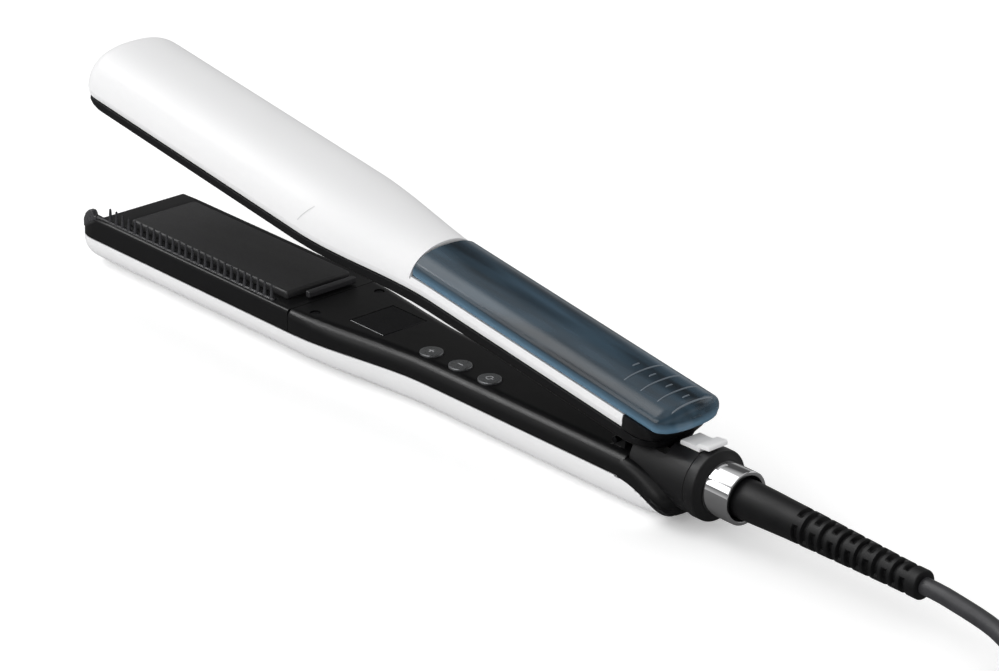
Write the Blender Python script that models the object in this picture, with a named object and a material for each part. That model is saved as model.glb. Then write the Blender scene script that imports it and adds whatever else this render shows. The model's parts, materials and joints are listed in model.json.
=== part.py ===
"""Steam hair straightener with a detachable water tank, modelled as its separate pieces.

The tool lies on its lower arm.  The origin is on the resting plane, straight below the
hinge pin; +X runs towards the cord, +Y across the arms and +Z up.  The upper arm hangs
on the empty "upper_arm_pivot", which stands on the hinge axis and holds it open.
"""
import math

import bmesh
import bpy
from mathutils import Matrix, Vector

MM = 0.001
GAP = 0.3 * MM                  # air between neighbouring pieces that touch

# Outline of both arms, seen from above
HEAD_TIP = -289.5 * MM          # furthest point of the nose
HEAD_HALF = 21.6 * MM           # half the width of the head
HANDLE_HALF = 15.4 * MM         # half the width of the handle
WAIST_FRONT = -158.0 * MM       # the head starts to narrow here
WAIST_REAR = -92.0 * MM         # and is handle-wide from here
NOSE_LENGTH = 13.0 * MM         # how far the nose rounding reaches back
NOSE_POWER = 2.8                # 2 is an ellipse, more is squarer
NOSE_START = 0.3 * MM           # first section, just behind the very tip
CROWN_NOSE = 10.0 * MM          # the crowns come up to full height over this length
CROWN_NOSE_POWER = 2.3
FACE_SETBACK = 15.5 * MM        # the arms' flat faces end this far behind the nose tip
FRAME_SEAM_X = -160.3 * MM      # head frame and handle frame meet

# Lower arm
LOWER_DEPTH = 20.6 * MM         # arm face down to the resting plane
LOWER_BAND_HEAD = 8.6 * MM      # height of the black frame's side at the head
LOWER_BAND_HANDLE = 7.6 * MM
LOWER_FLAT = 0.25               # share of the width that is flat underneath
LOWER_ROUND = 2.1               # squareness of the lower shell's crown
FRAME_EDGE = 1.2 * MM           # rounding along the head frame's upper edge
HANDLE_EDGE = 2.4 * MM
FRAME_REAR = 6.4 * MM           # rear end of the handle frame
SHELL_REAR = 28.0 * MM          # rear end of the lower shell, under the barrel
SHELL_CURL = 6.0 * MM           # length over which it curls up there
CURL_LEAST = 0.62               # share of its depth that is left at the very end
SHELL_WALL = 1.6 * MM
SWEEP_DROP = 11.4 * MM          # the shell's rim comes down this far around the barrel
SWEEP_LENGTH = 21.0 * MM
SKIRT_WIDTH = 4.6 * MM          # the barrel's skirt shows this far behind the shell's rim
SKIRT_SEAM = 0.27 * MM          # and stands this far off it, along and up
TAIL_RISE = 1.9 * MM            # the underside lifts off the table towards the rear
DECK = 2.0 * MM                 # thickness of the frames' decks

# Upper arm
UPPER_DEPTH_HEAD = 21.6 * MM    # arm face up to the crown
UPPER_DEPTH_HANDLE = 20.1 * MM
UPPER_ROUND_HEAD = 2.45         # squareness of the crown, 2 is an ellipse
UPPER_ROUND_HANDLE = 2.1
UPPER_RIM_HANDLE = 1.2 * MM     # the frame's underside lies this high at the handle
UPPER_BAND_HEAD = 3.3 * MM      # top of the black frame's side at the head
UPPER_BAND_HANDLE = 5.1 * MM
UPPER_EDGE = 1.0 * MM
UPPER_TUCK = 0.7 * MM           # the upper shell's nose stands this far behind the lower's
BAND_TUCK = 2.3 * MM            # and its frame's nose this far
FACET_HEIGHT = 2.6 * MM         # narrow side facet below the crown
FACET_INSET = 0.5 * MM
OPEN_DEGREES = 8.2              # how far the arms stand open
STRIP_TOP = 10.4 * MM           # top of the side strips beside the tank
STRIP_REAR = 4.8 * MM           # rear end of the side strips
STERN_END = 17.2 * MM           # rear end of the tail, at the arm's face
STERN_LEAN = 5.4 * MM           # and this much further out at the strips' height
STERN_ROUND = 13.0 * MM         # length of the tail's rounding at the arm's face
STERN_SQUARE = 6.0 * MM         # so much shorter is it at the strips' height
STERN_SHARES = (0.3, 0.5, 0.68, 0.82, 0.93, 1.0, 1.07)  # where its sections stand

# Water tank
TANK_FRONT = -102.5 * MM
TANK_SUNK = 0.8 * MM            # its crown lies this much lower than the upper shell's
TANK_WALL = 1.5 * MM
TANK_SIDE = 1.8 * MM            # straight side below its crown
TANK_ROUND = 2.2                # squareness of the crown
TANK_TAIL = 0.35                # share of its height that is left at the very rear
KEEL_LOW = 6.6 * MM             # underside of the part that sits between the strips
KEEL_HALF = 12.6 * MM
KEEL_REAR = 3.0 * MM
TANK_LIFT_DEGREES = 30.0        # the tank comes off at this angle to the arm
TANK_STERN = 8.7 * MM           # length over which its top comes down at the rear
TANK_TIP = 3.0 * MM             # half the width of its very rear
FILLER_BORE = 4.6 * MM          # radius of the filling hole
FILLER_X = -86.0 * MM
PORT_RADIUS = 3.3 * MM          # the tank's outlet, in its front wall

# Plates, heaters and their floating mounts
PLATE_PROUD = 2.7 * MM          # plate face above its arm's face
PLATES_APART = 0.4 * MM         # left between the plates when the arms are closed
PLATE_FRONT = -260.5 * MM
PLATE_REAR = -168.0 * MM
PLATE_THICK = 3.6 * MM
PLATE_FLOAT = 0.8 * MM          # how far a plate gives, until its spring is at
SPRING_FLAT = 2.5 * MM          # this height
PLATE_EDGE = 1.1 * MM
HEATER_THICK = 1.2 * MM
HEATER_SIDE = 4.2 * MM          # heater's sides inside the plate's
HEATER_INSET = 7.0 * MM         # heater ends inside the plate's ends
SPRING_STRIP = 0.5 * MM
SPRING_WIDTH = 8.0 * MM
SPRING_WAVES = 4
SPRING_INSET = 13.0 * MM        # the spring ends inside the plate's ends

# Steam works inside the upper arm
CARRIER_FLOOR = 1.2 * MM        # floor of the tray that holds the floating upper plate
CARRIER_LIP = 2.0 * MM          # it reaches this far past the plate's ends
CARRIER_SIDE = 1.7 * MM         # and this far past its sides
CHAMBER_REAR = -174.0 * MM
CHAMBER_LENGTH = 46.0 * MM
CHAMBER_HALF = 12.0 * MM
CHAMBER_HEIGHT = 6.5 * MM
MANIFOLD_WIDTH = 1.9 * MM
MANIFOLD_CLEAR = 0.9 * MM       # between the steam manifold and the shell's side wall
MANIFOLD_HEIGHT = 2.6 * MM
VENT_START = 7.5 * MM           # the first vent, behind the plate's front edge
VENT_COUNT = 8
VENT_PITCH = 11.0 * MM
VENT_LENGTH = 5.0 * MM
VENT_WIDTH = 1.0 * MM
WATER_LINE = 12.4 * MM          # depth of the pump's and the hoses' axis
PUMP_FRONT = -142.0 * MM
PUMP_RADIUS = 5.4 * MM
PUMP_LENGTH = 26.0 * MM
SADDLE_INSET = 4.0 * MM         # the pump overhangs its saddle by this much at both ends
HOSE_RADIUS = 1.6 * MM
BULKHEAD_THICK = 1.6 * MM
SEAL_THICK = 1.0 * MM
SEAL_RADIUS = 4.3 * MM

# Comb along the near edge
COMB_INSET = 2.6 * MM           # its middle line inside the arm's near edge
TOOTH_COUNT = 26
TOOTH_FIRST = -268.4 * MM
TOOTH_PITCH = 3.85 * MM
TOOTH_HEIGHT = 5.4 * MM
TOOTH_RADIUS = 0.75 * MM
COMB_RIB = 1.5 * MM             # width of the rib that carries the teeth
COMB_FLANGE = 2.6 * MM          # width of the foot that runs in the groove
COMB_FLANGE_TOP = 1.0 * MM
COMB_FLANGE_THICK = 1.6 * MM
COMB_FRONT = -276.6 * MM
COMB_REAR = -170.5 * MM
TAB_REACH = 8.2 * MM            # finger tab, past the comb's front end
TAB_TOP = 1.5 * MM              # above the arm's face
TAB_DROP = 6.2 * MM             # below it
TAB_NOTCH = 1.6 * MM            # clear space between the tab's crest and the rib
TAB_CREST = 2.8 * MM            # width of the crest
TAB_FOOT = 3.6 * MM             # width of the tab's foot

# Cross bar behind the plate, and the two stop buffers
BAR_X = -163.6 * MM
BAR_THICK = 2.4 * MM
BAR_NEAR = -9.2 * MM
BAR_FAR = 13.2 * MM
BAR_HEIGHT = 2.8 * MM
STOP_X = -152.0 * MM
STOP_Y = 15.2 * MM
STOP_RADIUS = 1.7 * MM
STOP_SUNK = 0.4 * MM            # top of the buffers below the arm's face
STOP_HEIGHT = 0.8 * MM

# Controls
DISPLAY_FRONT = -138.6 * MM
DISPLAY_REAR = -120.4 * MM
DISPLAY_HALF = 10.2 * MM
DISPLAY_THICK = 1.0 * MM
BUTTON_X = -98.2 * MM           # the first of three
BUTTON_PITCH = 15.2 * MM
BUTTON_Y = -6.9 * MM
BUTTON_RADIUS = 4.3 * MM
BUTTON_PROUD = 0.7 * MM
BUTTON_TRAVEL = 0.5 * MM
BUTTON_CLEAR = 0.25 * MM
BOARD_THICK = 1.2 * MM
BOARD_DEPTH = 5.2 * MM          # upper face of the circuit board, below the arm face
BOARD_HALF = 11.5 * MM
BOARD_END = 9.1 * MM            # it reaches this far past the last button's middle

# Hinge
PIN_RADIUS = 1.2 * MM
PIN_CLEAR = 0.07 * MM
KNUCKLE_RADIUS = 2.7 * MM
OUTER_EAR = (8.3 * MM, 12.0 * MM)
INNER_EAR = (4.2 * MM, 8.0 * MM)
COIL_WIRE = 0.35 * MM           # radius of the hinge spring's wire
COIL_RADIUS = 1.95 * MM
COIL_PITCH = 1.25 * MM
COIL_TURNS = 5

# Barrel, collar and ring at the tail
BARREL_Z = 16.2 * MM            # height of the barrel's axis
BARREL_RADIUS = 12.3 * MM
BARREL_BORE = 9.6 * MM
BARREL_FRONT = FRAME_REAR + GAP
BARREL_STEP_X = 21.0 * MM       # in front of this the barrel is cut low for the tail
BARREL_STEP_Z = 4.1 * MM        # height of that cut above the arm's face
BARREL_REAR = 32.4 * MM
COLLAR_RADIUS = 12.7 * MM
COLLAR_LENGTH = 4.7 * MM
COLLAR_CONE = 1.3 * MM          # its rear face swells out to the ring by this much
RING_RADIUS = 9.5 * MM
RING_BORE = 7.9 * MM
RING_LENGTH = 11.0 * MM
LOCK_REAR = 32.0 * MM
LOCK_HALF = 4.4 * MM
LOCK_BED = 1.0 * MM             # depth of its track in the barrel
LOCK_TRAVEL = 1.8 * MM          # free run while the arms stand open
LOCK_TOP = 1.1 * MM             # top of the slider above the barrel
LOCK_TAB = 2.9 * MM             # height of its finger tab above the barrel
LOCK_OVERHANG = 4.4 * MM        # the tab reaches out over the collar
LOCK_EDGE = 0.5 * MM            # chamfer along its edges

# Cord and boot
CORD_RADIUS = 3.0 * MM
BOOT_NECK = 6.9 * MM
BOOT_FLANGE = 8.7 * MM
BOOT_FLANGE_THICK = 2.0 * MM
BOOT_CLEAR = 0.4 * MM           # the boot swivels in the collar with this much air
BOOT_BODY_END = 78.5 * MM
BOOT_RIBS_END = 119.5 * MM
BOOT_END = 128.4 * MM
BOOT_WAIST = 6.2 * MM           # radius where the ribs start
BOOT_TIP = 5.1 * MM             # radius of the end collar
BOOT_TIP_EDGE = 0.7 * MM
RIB_GROOVES = 7                 # on each side
RIB_GROOVE_DEPTH = 1.5 * MM
RIB_GROOVE_HALF = 104.0         # degrees to either side that a groove reaches round
RIB_GROOVE_SHARE = 0.26         # a groove's width, as a share of the step between them
BOOT_DROOP = 1.56 * MM          # how far the cord's weight bends the boot down
DROOP_START = 58.5 * MM         # and the stretch over which it does
DROOP_END = 158.4 * MM
HANK_INNER = 18.3 * MM          # radius of the hank's innermost bends
HANK_PITCH = 6.6 * MM
HANK_RUN = 76.0 * MM            # its straight runs
HANK_X = 258.0 * MM             # its middle
HANK_LAYERS = 3
HANK_TURNS = 5                  # in all, so each layer has five thirds of a turn
TIE_THICK = 0.6 * MM
TIE_WIDTH = 9.0 * MM
PLUG_HIGH = 6.85 * MM           # half the plug's thickness
PLUG_LENGTH = 36.0 * MM
PLUG_SECTIONS = (               # share of its length, half width and half thickness
    (0.0, 4.4 * MM, 4.4 * MM), (0.25, 5.2 * MM, 5.0 * MM), (0.39, 9.0 * MM, 6.2 * MM),
    (0.56, 15.2 * MM, PLUG_HIGH), (0.97, 17.6 * MM, PLUG_HIGH), (1.0, 16.9 * MM, 6.3 * MM))
PLUG_SQUARE = 0.6               # 1 is an ellipse, less is squarer
PLUG_PIN_RADIUS = 2.0 * MM
PLUG_PIN_LENGTH = 19.0 * MM
PLUG_PIN_SPACING = 18.6 * MM

# Worked out from the sizes above
CLOSED_GAP = 2 * PLATE_PROUD + PLATES_APART
PLATE_WELL = (PLATE_THICK - PLATE_PROUD + HEATER_THICK + SPRING_FLAT + PLATE_FLOAT
              + 3 * GAP)        # depth of the pockets that the plates float in
FACE_Z = LOWER_DEPTH
HINGE_Z = FACE_Z + CLOSED_GAP / 2
SWEEP_START = FRAME_REAR - 4.4 * MM
OPEN_ANGLE = math.radians(OPEN_DEGREES)
SEAM = GAP                      # between a frame and its shell
COLLAR_FRONT = BARREL_REAR + GAP
COLLAR_REAR = COLLAR_FRONT + COLLAR_LENGTH + COLLAR_CONE
RING_FRONT = COLLAR_REAR + GAP
RING_REAR = RING_FRONT + RING_LENGTH
LOCK_FLOOR = BARREL_Z + BARREL_RADIUS - LOCK_BED
LOCK_FRONT = BARREL_STEP_X + LOCK_TRAVEL + 0.2 * MM
CARRIER_HALF = HEAD_HALF - SHELL_WALL - MANIFOLD_CLEAR - MANIFOLD_WIDTH - GAP
PLATE_HALF = CARRIER_HALF - CARRIER_SIDE
HEATER_HALF = PLATE_HALF - HEATER_SIDE
COMB_Y = COMB_INSET - HEAD_HALF
KEEL_RUN = (STRIP_TOP + GAP - KEEL_LOW) / math.tan(math.radians(TANK_LIFT_DEGREES))
SEAL_FRONT = TANK_FRONT - GAP - SEAL_THICK
BULKHEAD_FRONT = SEAL_FRONT - GAP - BULKHEAD_THICK
TANK_TOP = UPPER_DEPTH_HANDLE - TANK_SUNK
HANK_DEPTH = HANK_TURNS / HANK_LAYERS
HANK_OUTER = HANK_INNER + HANK_PITCH * HANK_DEPTH
HANK_FLOOR = TIE_THICK + GAP + CORD_RADIUS
HANK_TOP = HANK_FLOOR + HANK_PITCH * (HANK_LAYERS - 1) + CORD_RADIUS
LOWER = (FACE_Z, -1)            # face height and the way depth runs
UPPER = (CLOSED_GAP / 2, 1)     # the same in the upper arm's own frame

BLACK = (0.012, 0.012, 0.013)
SATIN_BLACK = (0.02, 0.02, 0.022)
WHITE = (0.82, 0.82, 0.83)


# ------------------------------------------------------------------ scene and materials

def clear_scene():
    for obj in list(bpy.data.objects):
        bpy.data.objects.remove(obj, do_unlink=True)
    for collection in list(bpy.data.collections):
        bpy.data.collections.remove(collection)


def new_collection(name):
    collection = bpy.data.collections.new(name)
    bpy.context.scene.collection.children.link(collection)
    return collection


def finish(name, colour, roughness, metallic=0.0, alpha=1.0):
    material = bpy.data.materials.new(name)
    material.use_nodes = True
    shader = material.node_tree.nodes["Principled BSDF"]
    shader.inputs["Base Color"].default_value = (*colour, 1.0)
    shader.inputs["Roughness"].default_value = roughness
    shader.inputs["Metallic"].default_value = metallic
    shader.inputs["Alpha"].default_value = alpha
    material.diffuse_color = (*colour, alpha)
    return material


# ------------------------------------------------------------------ mesh building

def place(name, bm, parent=None, look=None, sharp=35.0):
    """Turn a bmesh into a named part; look is its colour, roughness and metallic value."""
    bmesh.ops.recalc_face_normals(bm, faces=bm.faces[:])
    mesh = bpy.data.meshes.new(name)
    bm.to_mesh(mesh)
    bm.free()
    mesh.shade_smooth()
    mesh.set_sharp_from_angle(angle=math.radians(sharp))
    obj = bpy.data.objects.new(name, mesh)
    obj.parent = parent
    if look is None:
        CUTTERS.objects.link(obj)
        obj.hide_render = True
        obj.display_type = 'WIRE'
    else:
        PARTS.objects.link(obj)
        mesh.materials.append(finish(name, *look))
    return obj


def cut(obj, cutter, operation='DIFFERENCE'):
    modifier = obj.modifiers.new(cutter.name, 'BOOLEAN')
    modifier.operation = operation
    modifier.solver = 'EXACT'
    modifier.object = cutter
    return obj


def loft(rings):
    """A closed solid through rings of equally many points, capped at both ends."""
    bm = bmesh.new()
    loops = [[bm.verts.new(point) for point in ring] for ring in rings]
    count = len(loops[0])
    for near, far in zip(loops, loops[1:]):
        for i in range(count):
            j = (i + 1) % count
            bm.faces.new((near[i], near[j], far[j], far[i]))
    bm.faces.new(loops[0])
    bm.faces.new(loops[-1])
    return bm


def box(x0, x1, y0, y1, z0, z1, bevel=0.0, segments=2):
    bm = bmesh.new()
    bmesh.ops.create_cube(bm, size=1.0)
    scale = Matrix.Diagonal((x1 - x0, y1 - y0, z1 - z0, 1.0))
    shift = Matrix.Translation(((x0 + x1) / 2, (y0 + y1) / 2, (z0 + z1) / 2))
    bmesh.ops.transform(bm, matrix=shift @ scale, verts=bm.verts[:])
    if bevel:
        bmesh.ops.bevel(bm, geom=bm.edges[:], offset=bevel, segments=segments,
                        profile=0.5, affect='EDGES')
    return bm


def slab(x0, x1, y0, y1, d0, d1, arm, bevel=0.0):
    """A box given by depths below (or, on the upper arm, above) the arm's face."""
    base, way = arm
    low, high = sorted((base + way * d0, base + way * d1))
    return box(x0, x1, y0, y1, low, high, bevel)


def rod(centre, radius, length, axis='Z', segments=24, tip=None, bevel=0.0):
    """A cylinder, or a cone where tip is given, that starts at centre and runs along axis."""
    bm = bmesh.new()
    bmesh.ops.create_cone(bm, cap_ends=True, segments=segments, radius1=radius,
                          radius2=radius if tip is None else tip, depth=length)
    bmesh.ops.translate(bm, verts=bm.verts[:], vec=(0, 0, length / 2))
    if bevel:
        rims = [e for e in bm.edges if abs(e.verts[0].co.z - e.verts[1].co.z) < 1e-7]
        bmesh.ops.bevel(bm, geom=rims, offset=bevel, segments=2, profile=0.5,
                        affect='EDGES')
    turn = {'Z': Matrix(), 'Y': Matrix.Rotation(-math.pi / 2, 4, 'X'),
            'X': Matrix.Rotation(math.pi / 2, 4, 'Y')}[axis]
    bmesh.ops.transform(bm, matrix=Matrix.Translation(centre) @ turn, verts=bm.verts[:])
    return bm


def lathe(profile, segments=32):
    """Turn (x, radius) points about the barrel's axis; a closed profile leaves a bore."""
    bm = bmesh.new()
    points = [bm.verts.new((x, 0, BARREL_Z + radius)) for x, radius in profile]
    edges = [bm.edges.new((points[i], points[(i + 1) % len(points)]))
             for i in range(len(points))]
    bmesh.ops.spin(bm, geom=points + edges, cent=(0, 0, BARREL_Z), axis=(1, 0, 0),
                   angle=2 * math.pi, steps=segments, use_merge=True)
    bmesh.ops.remove_doubles(bm, verts=bm.verts[:], dist=1e-6)
    return bm


def prism(outline, y0, y1):
    """Extrude a closed outline of (x, z) points across the arm."""
    bm = bmesh.new()
    face = bm.faces.new([bm.verts.new((x, y0, z)) for x, z in outline])
    swept = bmesh.ops.extrude_face_region(bm, geom=[face])
    verts = [v for v in swept["geom"] if isinstance(v, bmesh.types.BMVert)]
    bmesh.ops.translate(bm, verts=verts, vec=(0, y1 - y0, 0))
    return bm


def merge(parts):
    """Put several loose bmeshes into one, for use as a single cutter or union tool."""
    whole = bmesh.new()
    for part in parts:
        mesh = bpy.data.meshes.new("piece")
        part.to_mesh(mesh)
        part.free()
        whole.from_mesh(mesh)
        bpy.data.meshes.remove(mesh)
    return whole


def tube(name, points, radius, resolution, look, parent=None):
    curve = bpy.data.curves.new(name, 'CURVE')
    curve.dimensions = '3D'
    curve.bevel_depth = radius
    curve.bevel_resolution = resolution
    curve.use_fill_caps = True
    spline = curve.splines.new('POLY')
    spline.points.add(len(points) - 1)
    for target, point in zip(spline.points, points):
        target.co = (*point, 1.0)
    obj = bpy.data.objects.new(name, curve)
    obj.parent = parent
    PARTS.objects.link(obj)
    curve.materials.append(finish(name, *look))
    return obj


# ------------------------------------------------------------------ the arms' outline

def smooth(a, b, x):
    t = min(1.0, max(0.0, (x - a) / (b - a)))
    return t * t * (3 - 2 * t)


def nose(x, tip, length, power):
    """Share of the full size at x, 0 at the nose tip and 1 from length behind it."""
    t = min(1.0, max(0.0, (tip + length - x) / length))
    return (1 - t ** power) ** (1 / power)


def along(x, head, handle):
    """A size that changes from the head's value to the handle's over the waist."""
    return head + (handle - head) * smooth(WAIST_FRONT, WAIST_REAR, x)


def lower_band(x):
    return along(x, LOWER_BAND_HEAD, LOWER_BAND_HANDLE)


def upper_rim(x):
    return along(x, 0.0, UPPER_RIM_HANDLE)


def upper_band(x):
    return along(x, UPPER_BAND_HEAD, UPPER_BAND_HANDLE)


def half_width(x, inset=0.0, tuck=0.0):
    full = along(x, HEAD_HALF, HANDLE_HALF) - inset
    return full * nose(x, HEAD_TIP + inset + tuck, NOSE_LENGTH, NOSE_POWER)


def stern_end(height):
    """Rear end of the tail at a height above the upper arm's face."""
    return STERN_END + STERN_LEAN * min(1.0, height / STRIP_TOP)


def stern_half(x, height):
    """Half the tail's width, rounded off towards its end."""
    length = STERN_ROUND - STERN_SQUARE * min(1.0, height / STRIP_TOP)
    return HANDLE_HALF * nose(-x, -stern_end(height), length, CROWN_NOSE_POWER)


def stern_low(x, height):
    """The tail's underside, which climbs where it leans out past its foot."""
    reach = x + GAP - STERN_END
    return max(height, STRIP_TOP * reach / STERN_LEAN)


def stations(first, last, nose_steps=6, inset=0.0, tuck=0.0):
    """Where the arms' sections stand: close together at the nose and at the waist."""
    tip = HEAD_TIP + inset + tuck
    places = []
    for i in range(1, nose_steps + 1):
        places.append(tip + NOSE_LENGTH * (1 - math.cos(i * math.pi / 2 / nose_steps)))
    places += [tip + NOSE_LENGTH + step * MM for step in (2, 10, 30, 60)]
    waist = WAIST_REAR - WAIST_FRONT
    places += [WAIST_FRONT + waist * i / 7 for i in range(8)]
    places += [FRAME_REAR, (FRAME_REAR + SHELL_REAR) / 2]
    places += [SHELL_REAR - SHELL_CURL * share for share in (1.0, 0.5, 0.2)]
    inner = [x for x in places if first + 0.5 * MM < x < last - 0.5 * MM]
    return [first] + inner + [last]


def crown_section(half, flat, rim, side, depth, power=2.3, facet=0.0, steps=6):
    """Outline of an arm's shell: straight sides from rim to side, then the crown."""
    right = [(half, rim), (half - facet, side)]
    half -= facet
    for i in range(1, steps + 1):
        angle = i * math.pi / 2 / steps
        out = math.cos(angle) ** (2 / power) if i < steps else 0.0
        away = math.sin(angle) ** (2 / power)
        right.append((flat + (half - flat) * out, side + (depth - side) * away))
    return right + [(-y, d) for y, d in reversed(right)]


def rounded_edge(half, rim, edge):
    turns = [math.radians(degrees) for degrees in (0, 30, 60, 90)]
    return [(half - edge + edge * math.sin(a), rim + edge - edge * math.cos(a)) for a in turns]


def frame_section(half, rim, depth, edge):
    """Outline of an arm's frame: flat face, rounded edges and straight sides."""
    edge = min(edge, (depth - rim) * 0.6, half * 0.4)
    right = rounded_edge(half, rim, edge) + [(half, depth)]
    return right + [(-y, d) for y, d in reversed(right)]


def ring(x, section, arm):
    base, way = arm
    return [Vector((x, y, base + way * d)) for y, d in section]


def face_rise(x, depth):
    """Depth at which the frame's face lies: it slopes away over the nose."""
    return depth * max(0.0, (HEAD_TIP + FACE_SETBACK - x) / FACE_SETBACK)


# ------------------------------------------------------------------ shells

def lower_crown(x, inset=0.0):
    rise = nose(x, HEAD_TIP + inset, CROWN_NOSE, CROWN_NOSE_POWER)
    if x > 0:
        rise = max(CURL_LEAST, nose(-x, -SHELL_REAR - 0.2 * MM, SHELL_CURL, CROWN_NOSE_POWER))
    tail = TAIL_RISE * smooth(FRAME_REAR, SHELL_REAR, x)
    rim = lower_band(x) + SEAM
    return rim + (LOWER_DEPTH - inset - tail - rim) * max(rise, 0.2)


def upper_crown(x, inset=0.0):
    rise = nose(x, HEAD_TIP + UPPER_TUCK + inset, CROWN_NOSE, CROWN_NOSE_POWER)
    rim = upper_band(x) + SEAM
    return rim + (along(x, UPPER_DEPTH_HEAD, UPPER_DEPTH_HANDLE) - inset - rim) * max(rise, 0.2)


def lower_solid(first, last, inset, below):
    """The lower shell's outline from its rim down; below drops the rim for a cutter."""
    rings = []
    for x in stations(first, last, inset=inset):
        half = half_width(x, inset)
        depth = lower_crown(x, inset)
        rim = lower_band(x) + SEAM
        side = min(rim + 1.0 * MM, depth - 0.5 * MM)
        section = crown_section(half, half * LOWER_FLAT, rim - below, side, depth, LOWER_ROUND)
        rings.append(ring(x, section, LOWER))
    return loft(rings)


def upper_section(x, inset, rim):
    depth = upper_crown(x, inset)
    side = min(upper_band(x) + SEAM + FACET_HEIGHT, depth - 0.4 * MM)
    power = along(x, UPPER_ROUND_HEAD, UPPER_ROUND_HANDLE)
    return crown_section(half_width(x, inset, UPPER_TUCK), 0.5 * MM, rim, side, depth, power,
                         FACET_INSET)


def upper_solid(first, last, inset, below):
    rings = []
    for x in stations(first, last, inset=inset, tuck=UPPER_TUCK):
        rings.append(ring(x, upper_section(x, inset, upper_band(x) + SEAM - below), UPPER))
    return loft(rings)


def rim_sweep(shift, steps=8):
    """The line along which the lower shell's rim comes down around the barrel."""
    rim = FACE_Z - LOWER_BAND_HANDLE - SEAM
    line = []
    for i in range(steps + 1):
        angle = i * math.pi / 2 / steps
        line.append((SWEEP_START + shift + SWEEP_LENGTH * math.sin(angle),
                     rim - SWEEP_DROP * (1 - math.cos(angle))))
    return line


def build_lower_shell():
    first = HEAD_TIP + NOSE_START
    shell = place("lower_shell", lower_solid(first, SHELL_REAR, 0.0, 0.0),
                  look=(WHITE, 0.35), sharp=40)
    inner = lower_solid(first + SHELL_WALL, SHELL_REAR - SHELL_WALL, SHELL_WALL, 1.3 * MM)
    cut(shell, place("lower_shell_cavity", inner))
    far = SHELL_REAR + 10 * MM
    over = FACE_Z - LOWER_BAND_HANDLE + 1 * MM
    sweep = rim_sweep(0.0) + [(far, rim_sweep(0.0)[-1][1]), (far, over), (SWEEP_START, over)]
    wide = HANDLE_HALF + 5 * MM
    cut(shell, place("lower_shell_sweep", prism(sweep, -wide, wide)))
    seat = rod((BARREL_FRONT - GAP, 0, BARREL_Z), BARREL_RADIUS + GAP, SHELL_REAR, 'X',
               segments=32)
    cut(shell, place("barrel_seat", seat))
    return shell


def build_upper_shell():
    first = HEAD_TIP + UPPER_TUCK + NOSE_START
    shell = place("upper_shell", upper_solid(first, STRIP_REAR, 0.0, 0.0), PIVOT,
                  (WHITE, 0.3), 40)
    inner = upper_solid(first + SHELL_WALL, STRIP_REAR + 2 * MM, SHELL_WALL, 1.3 * MM)
    cut(shell, place("upper_shell_cavity", inner, PIVOT))
    bay = slab(TANK_FRONT - GAP, STRIP_REAR + 2 * MM, -HEAD_HALF, HEAD_HALF,
               STRIP_TOP, UPPER_DEPTH_HEAD + 5 * MM, UPPER)
    cut(shell, place("tank_bay", bay, PIVOT))
    return shell


# ------------------------------------------------------------------ frames

def lower_frame_solid(first, last, edge):
    rings = []
    for x in stations(first, last):
        band = lower_band(x)
        rim = face_rise(x, band - 0.5 * MM)
        rings.append(ring(x, frame_section(half_width(x), rim, band, edge), LOWER))
    return loft(rings)


def handle_hollow(first, last):
    rings = []
    for x in stations(first, last):
        section = frame_section(half_width(x) - SHELL_WALL, DECK, lower_band(x) + 1 * MM,
                                0.5 * MM)
        rings.append(ring(x, section, LOWER))
    return loft(rings)


def build_head_frame():
    frame = place("lower_head_frame",
                  lower_frame_solid(HEAD_TIP + NOSE_START, FRAME_SEAM_X, FRAME_EDGE),
                  look=(SATIN_BLACK, 0.42))
    clear = GAP + 0.1 * MM
    well = slab(PLATE_FRONT - clear, PLATE_REAR + clear, -PLATE_HALF - clear,
                PLATE_HALF + clear, -1 * MM, PLATE_WELL, LOWER)
    cut(frame, place("lower_plate_well", well))
    groove_end = COMB_REAR + GAP
    near = COMB_Y - COMB_RIB / 2
    slot = slab(HEAD_TIP - 5 * MM, groove_end, near - GAP, near + COMB_RIB + GAP,
                -1 * MM, COMB_FLANGE_TOP + 0.5 * MM, LOWER)
    foot = slab(HEAD_TIP - 5 * MM, groove_end, near - GAP, near + COMB_FLANGE + GAP,
                COMB_FLANGE_TOP - GAP, COMB_FLANGE_TOP + COMB_FLANGE_THICK + GAP, LOWER)
    mouth = slab(HEAD_TIP - 5 * MM, COMB_FRONT + 1.3 * MM, near - GAP,
                 near + COMB_FLANGE + GAP, -1 * MM, TAB_DROP + GAP, LOWER)
    cut(frame, place("comb_slot", slot))
    cut(frame, place("comb_mouth", mouth))
    cut(frame, place("comb_groove", foot))
    return frame


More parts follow.
